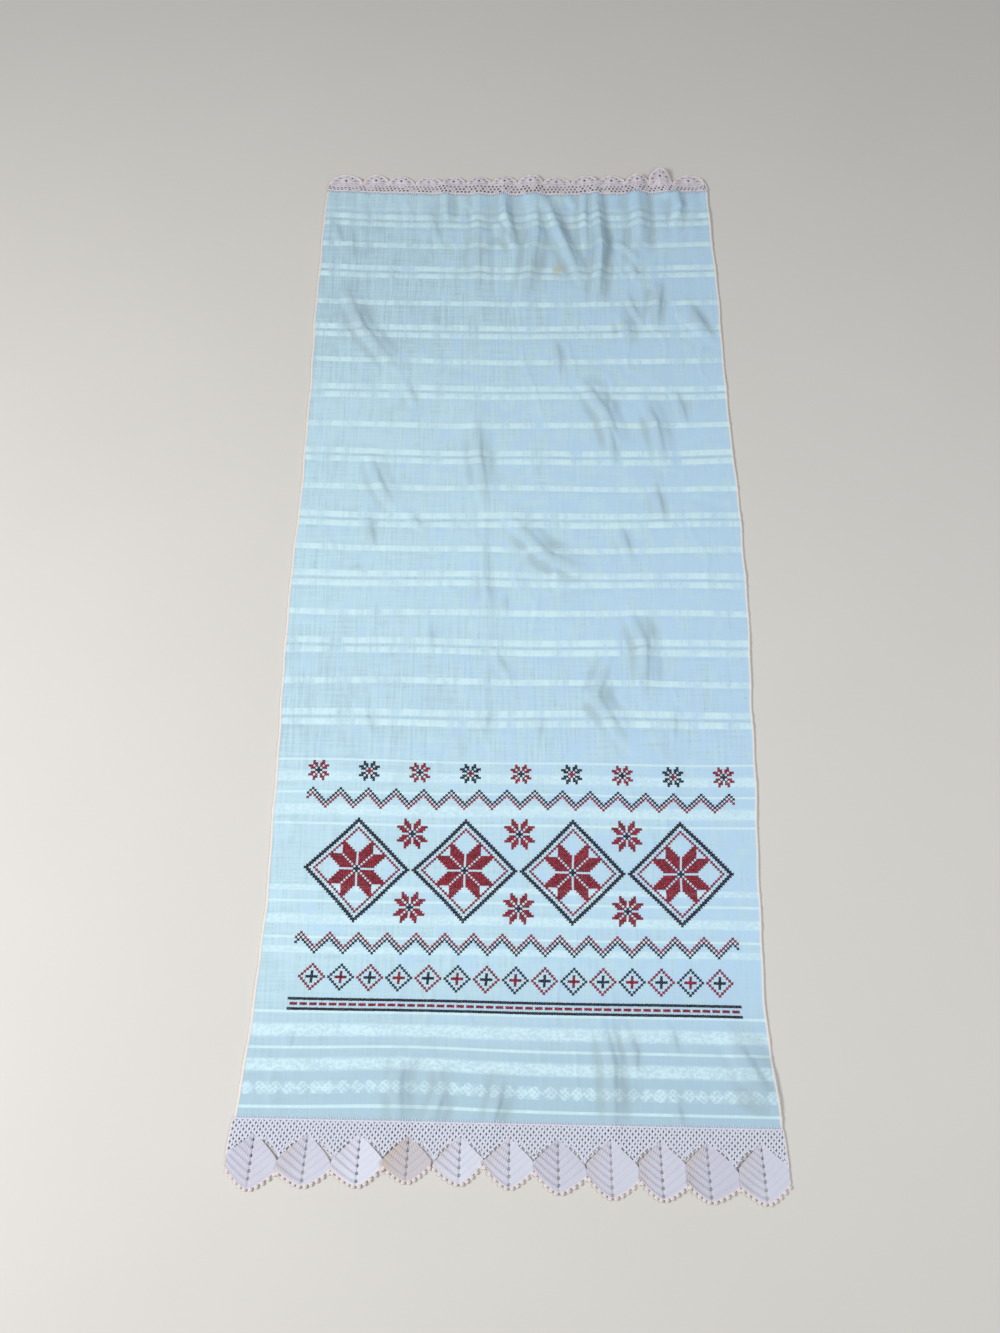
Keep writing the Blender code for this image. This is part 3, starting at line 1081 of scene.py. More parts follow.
LOWER_STRIPES = (
    Stripe(-151.6, 2.6),
    Stripe(-166.8, 11.5, Band.MOTTLED),
    Stripe(-181.0, 2.6),
    Stripe(-196.5, 13.0, Band.MOTTLED),
    Stripe(-209.0, 2.8),
    Stripe(-266.0, 6.5, Band.MOTTLED),
    Stripe(-277.0, 2.8),
    Stripe(-292.0, 10.5, Band.MOTTLED),
    Stripe(-307.0, 2.6),
    Stripe(-317.5, 7.5, Band.MOTTLED),
    Stripe(-368.0, 2.8),
    Stripe(-382.7, 13.5, Band.MOTTLED),
    Stripe(-396.6, 2.8),
    Stripe(-410.3, 13.0, Band.MOTTLED),
    Stripe(-428.2, 11.5, Band.ROSETTE),
    Stripe(-442.5, 2.8),
)
STRIPES = (*upper_stripes(), *LOWER_STRIPES)


@dataclass(frozen=True)
class WovenCloth:
    """The handwoven panel, hem included."""

    finish: ClothFinish
    drape: Drape
    thickness: float = 0.8
    columns: int = 288
    row_spacing: float = 4.0
    coarse: int = 8
    selvedge_width: float = 2.2
    selvedge_rise: float = 0.45
    selvedge_turn: float = 0.8
    band_rises: tuple[float, float, float, float] = (0.18, 0.12, 0.12, -0.22)
    drift: float = 1.3
    drift_turns: tuple[Pair, Pair] = ((9.0, 21.0), (4.1, -37.0))
    bow: float = 3.0
    bow_x: float = -80.0
    bow_width: float = 70.0
    bow_rise: Pair = (0.0, 0.012)
    bow_fall: Pair = (0.085, 0.045)
    crumple: float = 0.55
    crumple_lengths: Pair = (34.0, 85.0)
    crumple_squash: float = 0.55
    crumple_width: float = 0.26
    crumple_waves: int = 12
    crumple_seed: int = 21
    middle_crumple: float = 0.45
    crumple_swing: float = 0.7
    least_crumple: float = 0.12
    calm_lengths: Pair = (90.0, 260.0)
    calm_waves: int = 8
    calm_seed: int = 22
    edge_slack: float = 0.35
    # How strongly the hollows and the folds take their painted shade.
    hollow_gain: float = 1.3
    least_ruffled: float = 0.12
    ruffled_span: float = 0.6
    rounds: int = 4

    def share_up(self, y: Array | float) -> Array | float:
        """A height on the left edge as a share of the cloth's length, to the second order in the sag.

        Args:
            y: the height.

        Returns:
            The share, from 0 at the hem to 1 at the top end.
        """
        left = EDGES[1].left
        straight = (y - hem_y(left)) / (TOP_MIDDLE_Y - hem_y(left))
        sag = (top_y(left) - TOP_MIDDLE_Y) / (TOP_MIDDLE_Y - hem_y(left))
        return straight - sag * straight**2

    def outline(self, across: Array, along: Array) -> tuple[Array, Array]:
        """Shares across and up the cloth as places: the rows follow the hem and the top end, with a
        bow in the wefts next to the hem, the columns follow the two edges, and each settles on the
        other in a few rounds.

        Args:
            across: shares across, from 0 at the left edge.
            along: shares up, from 0 at the hem.

        Returns:
            The x and y of each place.
        """
        x = (2 * across - 1) * TOP_HALF_WIDTH
        fade = np.sin(np.clip(along, 0, 1) * np.pi)
        drift = fade
        for across_turn, along_turn in self.drift_turns:
            drift = drift * np.sin(across * across_turn + along * along_turn)
        near_hem = rising(along, *self.bow_rise) * rising(along, *self.bow_fall)
        bow = near_hem * np.exp(-(((x - self.bow_x) / self.bow_width) ** 2))
        wander = self.drift * drift + self.bow * bow
        y = np.zeros(np.shape(x))
        for _ in range(self.rounds):
            y = hem_y(x) + along * (TOP_MIDDLE_Y - hem_y(x)) + wander
            y = y + along**2 * (top_y(x) - TOP_MIDDLE_Y)
            left, right = edge_x(y)
            x = left + across * (right - left)
        return x, y

    def rows(self) -> Array:
        """Shares up the cloth of the mesh's rows: the middle of each stripe and furrow, both edges
        of each stripe, and even steps between them.

        Returns:
            Rising shares from 0 to 1.
        """
        marks = {0.0, 1.0}
        for stripe in STRIPES:
            for side in (0,) if stripe.make is Band.FURROW else (-1, 0, 1):
                marks.add(float(self.share_up(stripe.y + side * stripe.width / 2)))
        marks = sorted(mark for mark in marks if 0 <= mark <= 1)
        rows = []
        for start, end in zip(marks, marks[1:]):
            steps = max(1, round((end - start) * CLOTH_LENGTH / self.row_spacing))
            rows.extend(np.linspace(start, end, steps, endpoint=False))
        return np.array(rows + [1.0])

    def bands(self, along: Array, make: Band) -> Array:
        """How far into a stripe each place lies: 0 at its edges and its strength in its middle.

        Args:
            along: shares up the cloth.
            make: which stripes are meant.

        Returns:
            The depth at each share.
        """
        depth = np.zeros(np.shape(along))
        for stripe in STRIPES:
            if stripe.make is make:
                middle = self.share_up(stripe.y)
                half = self.share_up(stripe.y + stripe.width / 2) - middle
                depth = np.maximum(depth, stripe.strength * (1 - np.abs(along - middle) / half))
        return depth

    def surface(self, x: Array, y: Array) -> Array:
        """The underside's height: the towel's lie with the cloth's own creases, and a crumple that
        rises along the zero lines of smooth noise and comes and goes with slower noise.

        Args:
            x: places across the towel.
            y: places up the towel.

        Returns:
            The height there.
        """
        height = self.drape.height(x, y)
        for crease in CREASES:
            height = height + crease.height(x, y)
        squashed = self.crumple_squash * y
        line = waves(x, squashed, self.crumple_lengths, self.crumple_waves, self.crumple_seed)
        ridge = np.clip(1 - np.abs(line) / self.crumple_width, 0, 1)
        calm = waves(x, y, self.calm_lengths, self.calm_waves, self.calm_seed)
        here = np.clip(self.middle_crumple + self.crumple_swing * calm, self.least_crumple, 1.0)
        return height + self.crumple * here * ridge * ridge * (3 - 2 * ridge)

    def build(self) -> bpy.types.Object:
        """Makes the cloth: the face that shows has far smaller cells than the underside, and takes
        painted shade in the hollows and where the height changes most.

        Returns:
            The piece.
        """
        even = np.linspace(0, 1, self.columns - 3)
        tight = self.selvedge_width / (2 * TOP_HALF_WIDTH)
        shares = np.sort(np.concatenate((even, (tight * 0.5, tight, 1 - tight, 1 - tight * 0.5))))
        across, along = np.meshgrid(shares, self.rows())
        x, y = self.outline(across, along)
        bands = [self.bands(along, make) for make in Band]
        height = self.surface(x, y)
        lower = lying(x, y, height)
        side = np.clip(1 - np.minimum(across, 1 - across) / tight, 0, 1)
        rise = self.selvedge_rise * np.sin(side * np.pi * self.selvedge_turn)
        for band, high in zip(bands, self.band_rises):
            rise = rise + high * np.sqrt(np.clip(band, 0, 1))
        upper = lower + up_from(lower) * (self.thickness + rise)[..., None]
        slack = self.edge_slack * np.clip(sum(bands), 0, 1) * (side > 0.9)
        upper[..., 0] += slack * np.sign(across - 0.5)
        # Painted shade: the folds grey by how far the height strays from its surroundings, and the hollows
        # darken.
        ruffled = spread_out(np.abs(spread_out(height, 2, 5) - height), 1, 2)
        values = {
            "across": (across - 0.5) * 2 * TOP_HALF_WIDTH,
            "along": along * CLOTH_LENGTH,
            "selvedge": side,
            "hollow_shade": np.clip((spread_out(height, 3, 4) - height) * self.hollow_gain, 0, 1),
            "ruffled": np.clip((ruffled - self.least_ruffled) / self.ruffled_span, 0, 1),
        }
        values.update({make.value: band for make, band in zip(Band, bands)})
        return self.two_grain_sheet(lower, upper, values).make("woven_cloth", self.finish.material())

    def two_grain_sheet(self, lower: Array, upper: Array, values: dict[str, Array]) -> Shape:
        """A closed sheet whose underside has only one of every few columns, and lies no higher than
        any part of the lower grid near it.

        Args:
            lower: the underside's full grid.
            upper: the upper grid.
            values: one number for each grid point, by name.

        Returns:
            The shape.
        """
        step = self.coarse
        rows, columns = upper.shape[:2]
        under = lower[:, ::step].copy()
        around = np.pad(lower[..., 2], ((1, 1), (step, step)), mode="edge")
        near = [(up, right) for up in range(3) for right in range(2 * step + 1)]
        lowest = np.min([around[up : up + rows, right : right + columns] for up, right in near], axis=0)
        under[..., 2] = lowest[:, ::step]
        low_columns = under.shape[1]
        high = np.arange(rows * columns).reshape(rows, columns)
        low = np.arange(rows * low_columns).reshape(rows, low_columns) + rows * columns
        whole = np.ones((rows - 1, columns - 1), bool)
        faces = [
            grid_faces(rows, columns, whole, False),
            grid_faces(rows, low_columns, whole[:, : low_columns - 1], True) + rows * columns,
            edge_faces(high[0], low[0]),
            edge_faces(high[-1, ::-1], low[-1, ::-1]),
            edge_faces(high[:, -1], low[:, -1]),
            edge_faces(high[::-1, 0], low[::-1, 0]),
        ]
        points = np.concatenate((upper.reshape(-1, 3), under.reshape(-1, 3)))
        both = {
            name: np.concatenate((value.reshape(-1), value[:, ::step].reshape(-1)))
            for name, value in values.items()
        }
        return Shape(points, faces, both)


@dataclass(frozen=True)
class Leaf:
    """One leaf of the bottom lace: the notch on its right, how far its left side curls up, and how
    far it is greyed and tinted beige all over."""

    tip: Pair
    notch: Pair
    lift: float
    dull: float = 0.0
    curl_shade_and_tint: float = 0.0


LEAVES = (
    Leaf((-213.7, -503.7), (-191.2, -489.2), 0.0, 0.40, 0.04),
    Leaf((-170.7, -501.5), (-148.5, -488.5), 1.6, 0.32, 0.03),
    Leaf((-128.2, -501.5), (-107.6, -485.6), 0.6),
    Leaf((-89.0, -498.6), (-69.6, -484.8), 2.6, 0.62, 0.55),
    Leaf((-47.3, -500.1), (-28.5, -483.4), 1.2, 0.06),
    Leaf((-7.9, -503.0), (11.9, -488.5), 1.6, 0.20),
    Leaf((31.3, -506.6), (54.4, -492.8), 0.8, 0.38),
    Leaf((73.5, -510.2), (96.1, -495.8), 1.4, 0.32),
    Leaf((113.4, -511.6), (133.7, -499.4), 1.8, 0.32),
    Leaf((150.9, -513.0), (174.5, -501.5), 2.2, 0.48),
    Leaf((194.6, -514.5), (213.7, -498.5), 1.2, 0.30),
)
LACE_LEFT = (-232.0, -486.0)
LACE_RIGHT = LEAVES[-1].notch


def notches(number: int) -> tuple[Pair, Pair]:
    """The notches on the left and on the right of one leaf."""
    return LEAVES[number - 1].notch if number else LACE_LEFT, LEAVES[number].notch


@dataclass(frozen=True)
class LeafLace:
    """The bottom edging: a band of net with eleven crocheted leaves that point down."""

    finish: YarnFinish
    drape: Drape
    base: float = 0.9
    rib: float = 1.1
    rib_pitch: float = 5.8
    rib_power: float = 0.55
    rib_strengths: Pair = (1.1, 0.42)
    strength_swing: float = 0.12
    strength_turn: float = 2.4
    right_swing: float = 1.3
    groove: float = 0.25
    groove_spread: float = 0.12
    stitch_pitch: float = 2.1
    stitch: float = 0.3
    top_drop: float = 10.0
    top_slope: float = 0.81
    arm_slope: float = 0.82
    arm_curve: float = 0.32
    arm_start: float = 0.008
    arm_drop: float = 0.0894
    curled_width: float = 0.5
    flat_width: float = 0.2
    arm_cells: int = 36
    rows: int = 64
    first_row: float = 0.05
    spine_hole: float = 0.95
    spine_sink: float = 0.5
    spine_sink_width: float = 0.05
    rim_relief: float = 0.55
    rim_gain: float = 0.45
    rim_width: float = 1.2
    edge_width: float = 1.6
    most_lift: float = 2.6
    curl_shade: float = 0.8
    net_drop: float = 27.0
    net_start: float = 1.6
    net_waver: float = 0.25
    net_lie: float = 0.85
    net_cross: float = 0.22
    knot: float = 0.12
    net_flare: Pair = (-3.2, 1.6)
    end_flare: Pair = (-3.4, 1.9)
    mesh_wide: float = 4.4
    mesh_high: float = 2.4
    yarn: float = 0.98
    edge_gap: float = 4.2
    bridge: float = 0.62
    bridge_ends: Pair = (-2.6, 1.2)
    spine_clear: float = 3.5
    tie_pitch: float = 3.432
    tie: float = 0.9
    tie_ends: Pair = (-20.0, 17.0)
    tie_clear: float = 6.5
    tie_lean: float = 1.6
    bead: float = 2.2
    picots: int = 5
    picot_shares: Pair = (0.1, 0.9)
    picot_out: Pair = (0.4, 0.6)
    picot_size: float = 0.85
    picot_yarn: float = 1.05

    def seam_x(self, x: Array | float) -> Array | float:
        """Where a place on the free edge hangs from the hem."""
        share = (x - LACE_LEFT[0]) / (LACE_RIGHT[0] - LACE_LEFT[0])
        return HEM_LEFT + share * (HEM_RIGHT - HEM_LEFT)

    def leaf_top(self, leaf: Leaf) -> Array:
        """The point where a leaf starts, under the band of net."""
        x = self.seam_x(leaf.tip[0])
        return np.array((x, hem_y(x) - self.top_drop))

    def arms(
        self, leaf: Leaf, notch: Pair, down: Array, share: Array, side: int
    ) -> tuple[Array, Array, Array]:
        """Half a leaf: V rows hang from its spine, each rising out from it to the leaf's upper edge or
        side; the lowest rows end in the notch, and are round at the tip.

        Args:
            leaf: the leaf.
            notch: the notch on this side.
            down: shares down the spine.
            share: shares out along each row.
            side: -1 for the left half and 1 for the right.

        Returns:
            The x and y of each point, and its distance along its row.
        """
        top = self.leaf_top(leaf)
        tip = np.array(leaf.tip)
        length = tip[1] - top[1]
        spine_x = top[0] + down * (tip[0] - top[0])
        spine_y = top[1] + down * length
        spare = self.curled_width * leaf.lift if side < 0 else self.flat_width
        side_width = abs(notch[0] - tip[0]) + spare
        wide = np.minimum(down * -length / (self.arm_slope + self.top_slope), side_width)
        last_slope = (notch[1] - tip[1]) / abs(notch[0] - tip[0])
        slope = self.arm_slope + (last_slope - self.arm_slope) * down**5
        curve = 1 + self.arm_curve * down**4
        eased = np.sqrt(share**2 + self.arm_start) - self.arm_drop
        x = spine_x + side * wide * share
        y = spine_y + slope * wide * eased**curve
        return x, y, wide * share / math.cos(math.atan(self.arm_slope))

    def half_strength(self, number: int) -> Array:
        """How strongly each column's ribs stand out: more on the left, and by turns from leaf to leaf."""
        left, right = self.rib_strengths
        turn = self.strength_swing * math.sin(self.strength_turn * number)
        halves = (left + turn, right + self.right_swing * turn)
        return np.repeat(halves, (self.arm_cells, self.arm_cells + 1))

    def ribs(self, fall: Array, along: Array) -> tuple[Array, Array, Array]:
        """The V ribs: each rises with the sine of the fall down the spine, and has a groove on its
        crest and stitches along it.

        Args:
            fall: how far down the spine each row starts.
            along: how far out along its row each point lies.

        Returns:
            The relief, how far each row is a crest, and the stitches' own rise from -1 to 1.
        """
        crest = np.abs(np.sin(np.pi * fall / self.rib_pitch)) ** self.rib_power
        off_crest = np.mod(fall, self.rib_pitch) - self.rib_pitch / 2
        half = np.exp(-(off_crest**2) / self.groove_spread)
        halves = np.floor(2 * fall / self.rib_pitch)
        stitch = np.cos(2 * np.pi * along / self.stitch_pitch + np.pi * halves)
        return self.rib * crest - self.groove * half + self.stitch * stitch * crest, crest, stitch

    def spine_rows(self, length: float) -> Array:
        """The grid rows of the holes down a spine: one to a rib, clear of both ends.

        Args:
            length: how long the spine is.

        Returns:
            The rows.
        """
        ribs_down = np.arange(1, int(length / self.rib_pitch) + 1) * self.rib_pitch / length
        rows = np.round((1.0 - ribs_down) / (1.0 - self.first_row) * self.rows).astype(int)
        return rows[(rows > 2) & (rows < self.rows - 2)]

    def make_leaf(self, number: int) -> Shape:
        """One leaf as a closed sheet with V ribs and a row of holes down the spine. Its left side
        curls up with the cube of the way out, and its rim is flat.

        Args:
            number: which leaf, from the left.

        Returns:
            The leaf.
        """
        leaf = LEAVES[number]
        left_notch, right_notch = notches(number)
        down = np.linspace(1.0, self.first_row, self.rows + 1)[:, None]
        out = np.linspace(0, 1, self.arm_cells + 1)[None, :]
        left = self.arms(leaf, left_notch, down, out[:, :0:-1], -1)
        right = self.arms(leaf, right_notch, down, out, 1)
        x, y, along = (np.concatenate(pair, axis=1) for pair in zip(left, right))
        away = np.concatenate((out[:, :0:-1], out), axis=1)
        on_left = np.arange(2 * self.arm_cells + 1) < self.arm_cells
        strength = self.half_strength(number)
        length = abs(leaf.tip[1] - self.leaf_top(leaf)[1])
        to_rim = (1 - down) * length
        relief, crest, stitch = self.ribs(down * length, along)
        relief = relief * (1 - self.spine_sink * np.exp(-((away / self.spine_sink_width) ** 2))) * strength
        relief = relief * (self.rim_relief + self.rim_gain * np.clip(to_rim / self.rim_width, 0, 1))
        lower = self.drape.points(x, y, leaf.lift * away**3 * on_left * down**2)
        upper = lower + lying(0.0, 0.0, self.base + relief)
        keep = np.ones((self.rows, 2 * self.arm_cells), bool)
        rows = self.spine_rows(length)
        open_holes([lower, upper], keep, rows, np.full(len(rows), self.arm_cells), self.spine_hole)
        # Painted shade: the curled left side takes a beige tint, and the crest value paints the rib crests
        # lighter and the grooves darker.
        curled = np.clip(leaf.lift / self.most_lift, 0, 1) * away**2 * on_left
        values = {
            "along": along,
            "turn_x": 0.4,
            "crest": 1 - (1 - crest * (0.85 + 0.15 * stitch)) * strength * 0.9,
            "edge": np.clip(1 - to_rim / self.edge_width, 0, 1),
            "curl_shade_and_tint": curled * self.curl_shade + leaf.curl_shade_and_tint,
            "dull": leaf.dull,
        }
        return sheet_shape(lower, upper, keep, values)

    def spines(self) -> Array:
        """Where the leaves start, across the towel."""
        return np.array([self.leaf_top(leaf)[0] for leaf in LEAVES])

    def off_spine(self, x: Array) -> Array:
        """How far each place across lies from the nearest leaf's start."""
        return np.abs(x[..., None] - self.spines()).min(axis=-1)

    def leaf_depth(self, x: Array) -> Array:
        """How far below the hem the leaves' upper edges lie at each place across."""
        return self.top_drop + self.top_slope * self.off_spine(x)

    def net_depth(self, x: Array) -> Array:
        """How far below the hem the net ends: clear of a leaf's upper edge, but not at either end of it.

        Args:
            x: places across the towel.

        Returns:
            The depth at each place.
        """
        away = self.off_spine(x)
        gap = self.edge_gap * np.clip((away - 3.0) / 6.0, 0, 1) * np.clip((20.5 - away) / 4.0, 0.1, 1)
        return self.leaf_depth(x) - gap + 0.6

    def net_row(self, depth: float, phase: float) -> list[Shape]:
        """One zigzag yarn of the net, cut where it would run under a leaf.

        Args:
            depth: how far it hangs below the hem.
            phase: where its zigzag starts, in half turns.

        Returns:
            Its stretches.
        """
        spread = depth / self.net_drop
        left = HEM_LEFT + self.net_flare[0] * spread
        right = HEM_RIGHT + self.net_flare[1] * spread
        x = np.linspace(left, right, int((right - left) / self.mesh_wide * 8))
        turn = (x - left) / self.mesh_wide * 2 * np.pi + phase * np.pi
        swing = self.mesh_high / 2 * np.sin(turn)
        y = hem_y(x) - self.net_start - depth + swing + self.net_waver * np.sin(x * 0.9 + depth)
        path = self.drape.points(x, y, self.net_lie + self.net_cross * np.cos(turn * 2))
        radius = self.yarn * (1 + self.knot * np.cos(2 * turn))
        shown = depth < self.net_depth(x)
        ends = np.flatnonzero(np.diff(np.concatenate(([0], shown.astype(int), [0]))))
        return [
            yarns(path[None, start:end], radius[None, start:end], 6, 0.62)
            for start, end in zip(ends[::2], ends[1::2])
            if end - start > 3
        ]

    def bridges(self) -> list[Shape]:
        """The yarn that ends the net over each gap between leaves, and the short yarns that tie it to
        their upper edges, with an opening between each two.

        Returns:
            Both as shapes.
        """
        spines = self.spines()
        starts = np.concatenate(([HEM_LEFT + self.bridge_ends[0]], spines + self.spine_clear))[:, None]
        ends = np.concatenate((spines - self.spine_clear, [HEM_RIGHT + self.bridge_ends[1]]))[:, None]
        x = starts + (ends - starts) * np.linspace(0, 1, 48)
        y = hem_y(x) - self.net_depth(x) - 1.0
        lines = yarns(self.drape.points(x, y, 0.8), self.bridge, 6, 0.8)
        spots = np.arange(spines[0] + self.tie_ends[0], spines[-1] + self.tie_ends[1], self.tie_pitch)
        spots = spots[self.off_spine(spots) > self.tie_clear][:, None]
        nearest = spines[np.abs(spots - spines).argmin(axis=1)][:, None]
        share = np.linspace(0, 1, 4)
        across = spots + np.sign(nearest - spots) * self.tie_lean * share
        high = hem_y(spots) - self.net_depth(spots) - 0.8
        low = hem_y(spots) - self.leaf_depth(spots) + 0.6
        ties = yarns(self.drape.points(across, high + (low - high) * share, 1.1), self.tie, 6, 0.7)
        return [lines, ties]

    def edge_chain(self, x: Array, y: Array, radius: float, pink: float) -> Shape:
        """A chain along a line, with one stitch to each bead's length.

        Args:
            x: places across.
            y: places up.
            radius: the yarn's radius.
            pink: how far it takes the edge's colour.

        Returns:
            The chain.
        """
        length = np.cumsum(np.hypot(np.diff(x, prepend=x[0]), np.diff(y, prepend=y[0])))
        path = self.drape.points(x, y, radius)
        return chain(path, radius, 0.82, np.pi * length / self.bead, pink)

    def net(self) -> Shape:
        """The net: zigzag rows a mesh apart, a chain along the hem and one down each end.

        Returns:
            The net.
        """
        shapes = []
        for row in range(int((self.top_drop + self.top_slope * 23) / self.mesh_high)):
            shapes += self.net_row(row * self.mesh_high + 0.6, row % 2)
        shapes += self.bridges()
        x = np.linspace(HEM_LEFT, HEM_RIGHT, 1400)
        shapes.append(self.edge_chain(x, hem_y(x) - 0.3, 0.85, 0.0))
        fall = np.linspace(0, self.net_drop, 90)
        for corner, flare in zip((HEM_LEFT, HEM_RIGHT), self.end_flare):
            x = corner + flare * (fall / self.net_drop) ** 0.8
            shapes.append(self.edge_chain(x, hem_y(x) - 0.9 - fall, 0.8, 0.8))
        return Shape.join(shapes)

    def picot_loops(self) -> Shape:
        """Small loops along each leaf's lower edge: circles, some to a side.

        Returns:
            The loops.
        """
        centres = []
        share = np.linspace(*self.picot_shares, self.picots)
        for number, leaf in enumerate(LEAVES):
            for side, notch in zip((-1, 1), notches(number)):
                x, y, _ = self.arms(leaf, notch, np.array(1.0), share, side)
                rise = leaf.lift * share**3 * (side < 0)
                out, down = self.picot_out
                centres.append(lying(x + side * out, y - down, self.drape.height(x, y) + 1.0 + rise))
        angle = np.linspace(0, 2 * np.pi, 10, endpoint=False)
        loop = self.picot_size * lying(np.cos(angle), np.sin(angle), 0.0)
        paths = np.concatenate(centres)[:, None] + loop
        return yarns(paths, self.picot_yarn, 6, 0.9, closed=True, edge=0.9)

    def build(self) -> list[bpy.types.Object]:
        """Makes the leaves, the net and the picots.

        Returns:
            The pieces.
        """
        material = self.finish.material()
        leaves = [self.make_leaf(number) for number in range(len(LEAVES))]
        return [
            *(leaf.make(f"lace_leaf_{number:02d}", material) for number, leaf in enumerate(leaves, 1)),
            self.net().make("lace_bottom_net", material),
            self.picot_loops().make("lace_bottom_picots", material),
        ]


@dataclass(frozen=True)
class Fan:
    """One fan of the top lace: its left notch, the height of its rim, how far its top leans to the
    right, and how far its middle stands up where it is crumpled."""

    left: float
    peak_y: float
    lean: float = 0.0
    lift: float = 0.0


FANS = (
    Fan(-200.0, 512.5, -1.0),
    Fan(-164.0, 512.0, 0.5, 0.5),
    Fan(-136.0, 510.0, -2.0, 1.2),
    Fan(-107.0, 509.5, 0.5),
    Fan(-78.0, 509.5, -0.5, 0.4),
    Fan(-52.0, 509.5, 0.8),
    Fan(-24.0, 510.5),
    Fan(4.0, 511.0, 0.6, 0.5),
    Fan(32.0, 510.0, -0.8),
    Fan(62.0, 510.0, 0.5),
    Fan(91.5, 511.0, -0.3, 0.6),
    Fan(121.6, 511.0, -1.0, 1.0),
    Fan(148.0, 518.0, -3.5, 3.2),
    Fan(173.0, 512.0, 0.6, 0.5),
)
FANS_RIGHT = 207.5


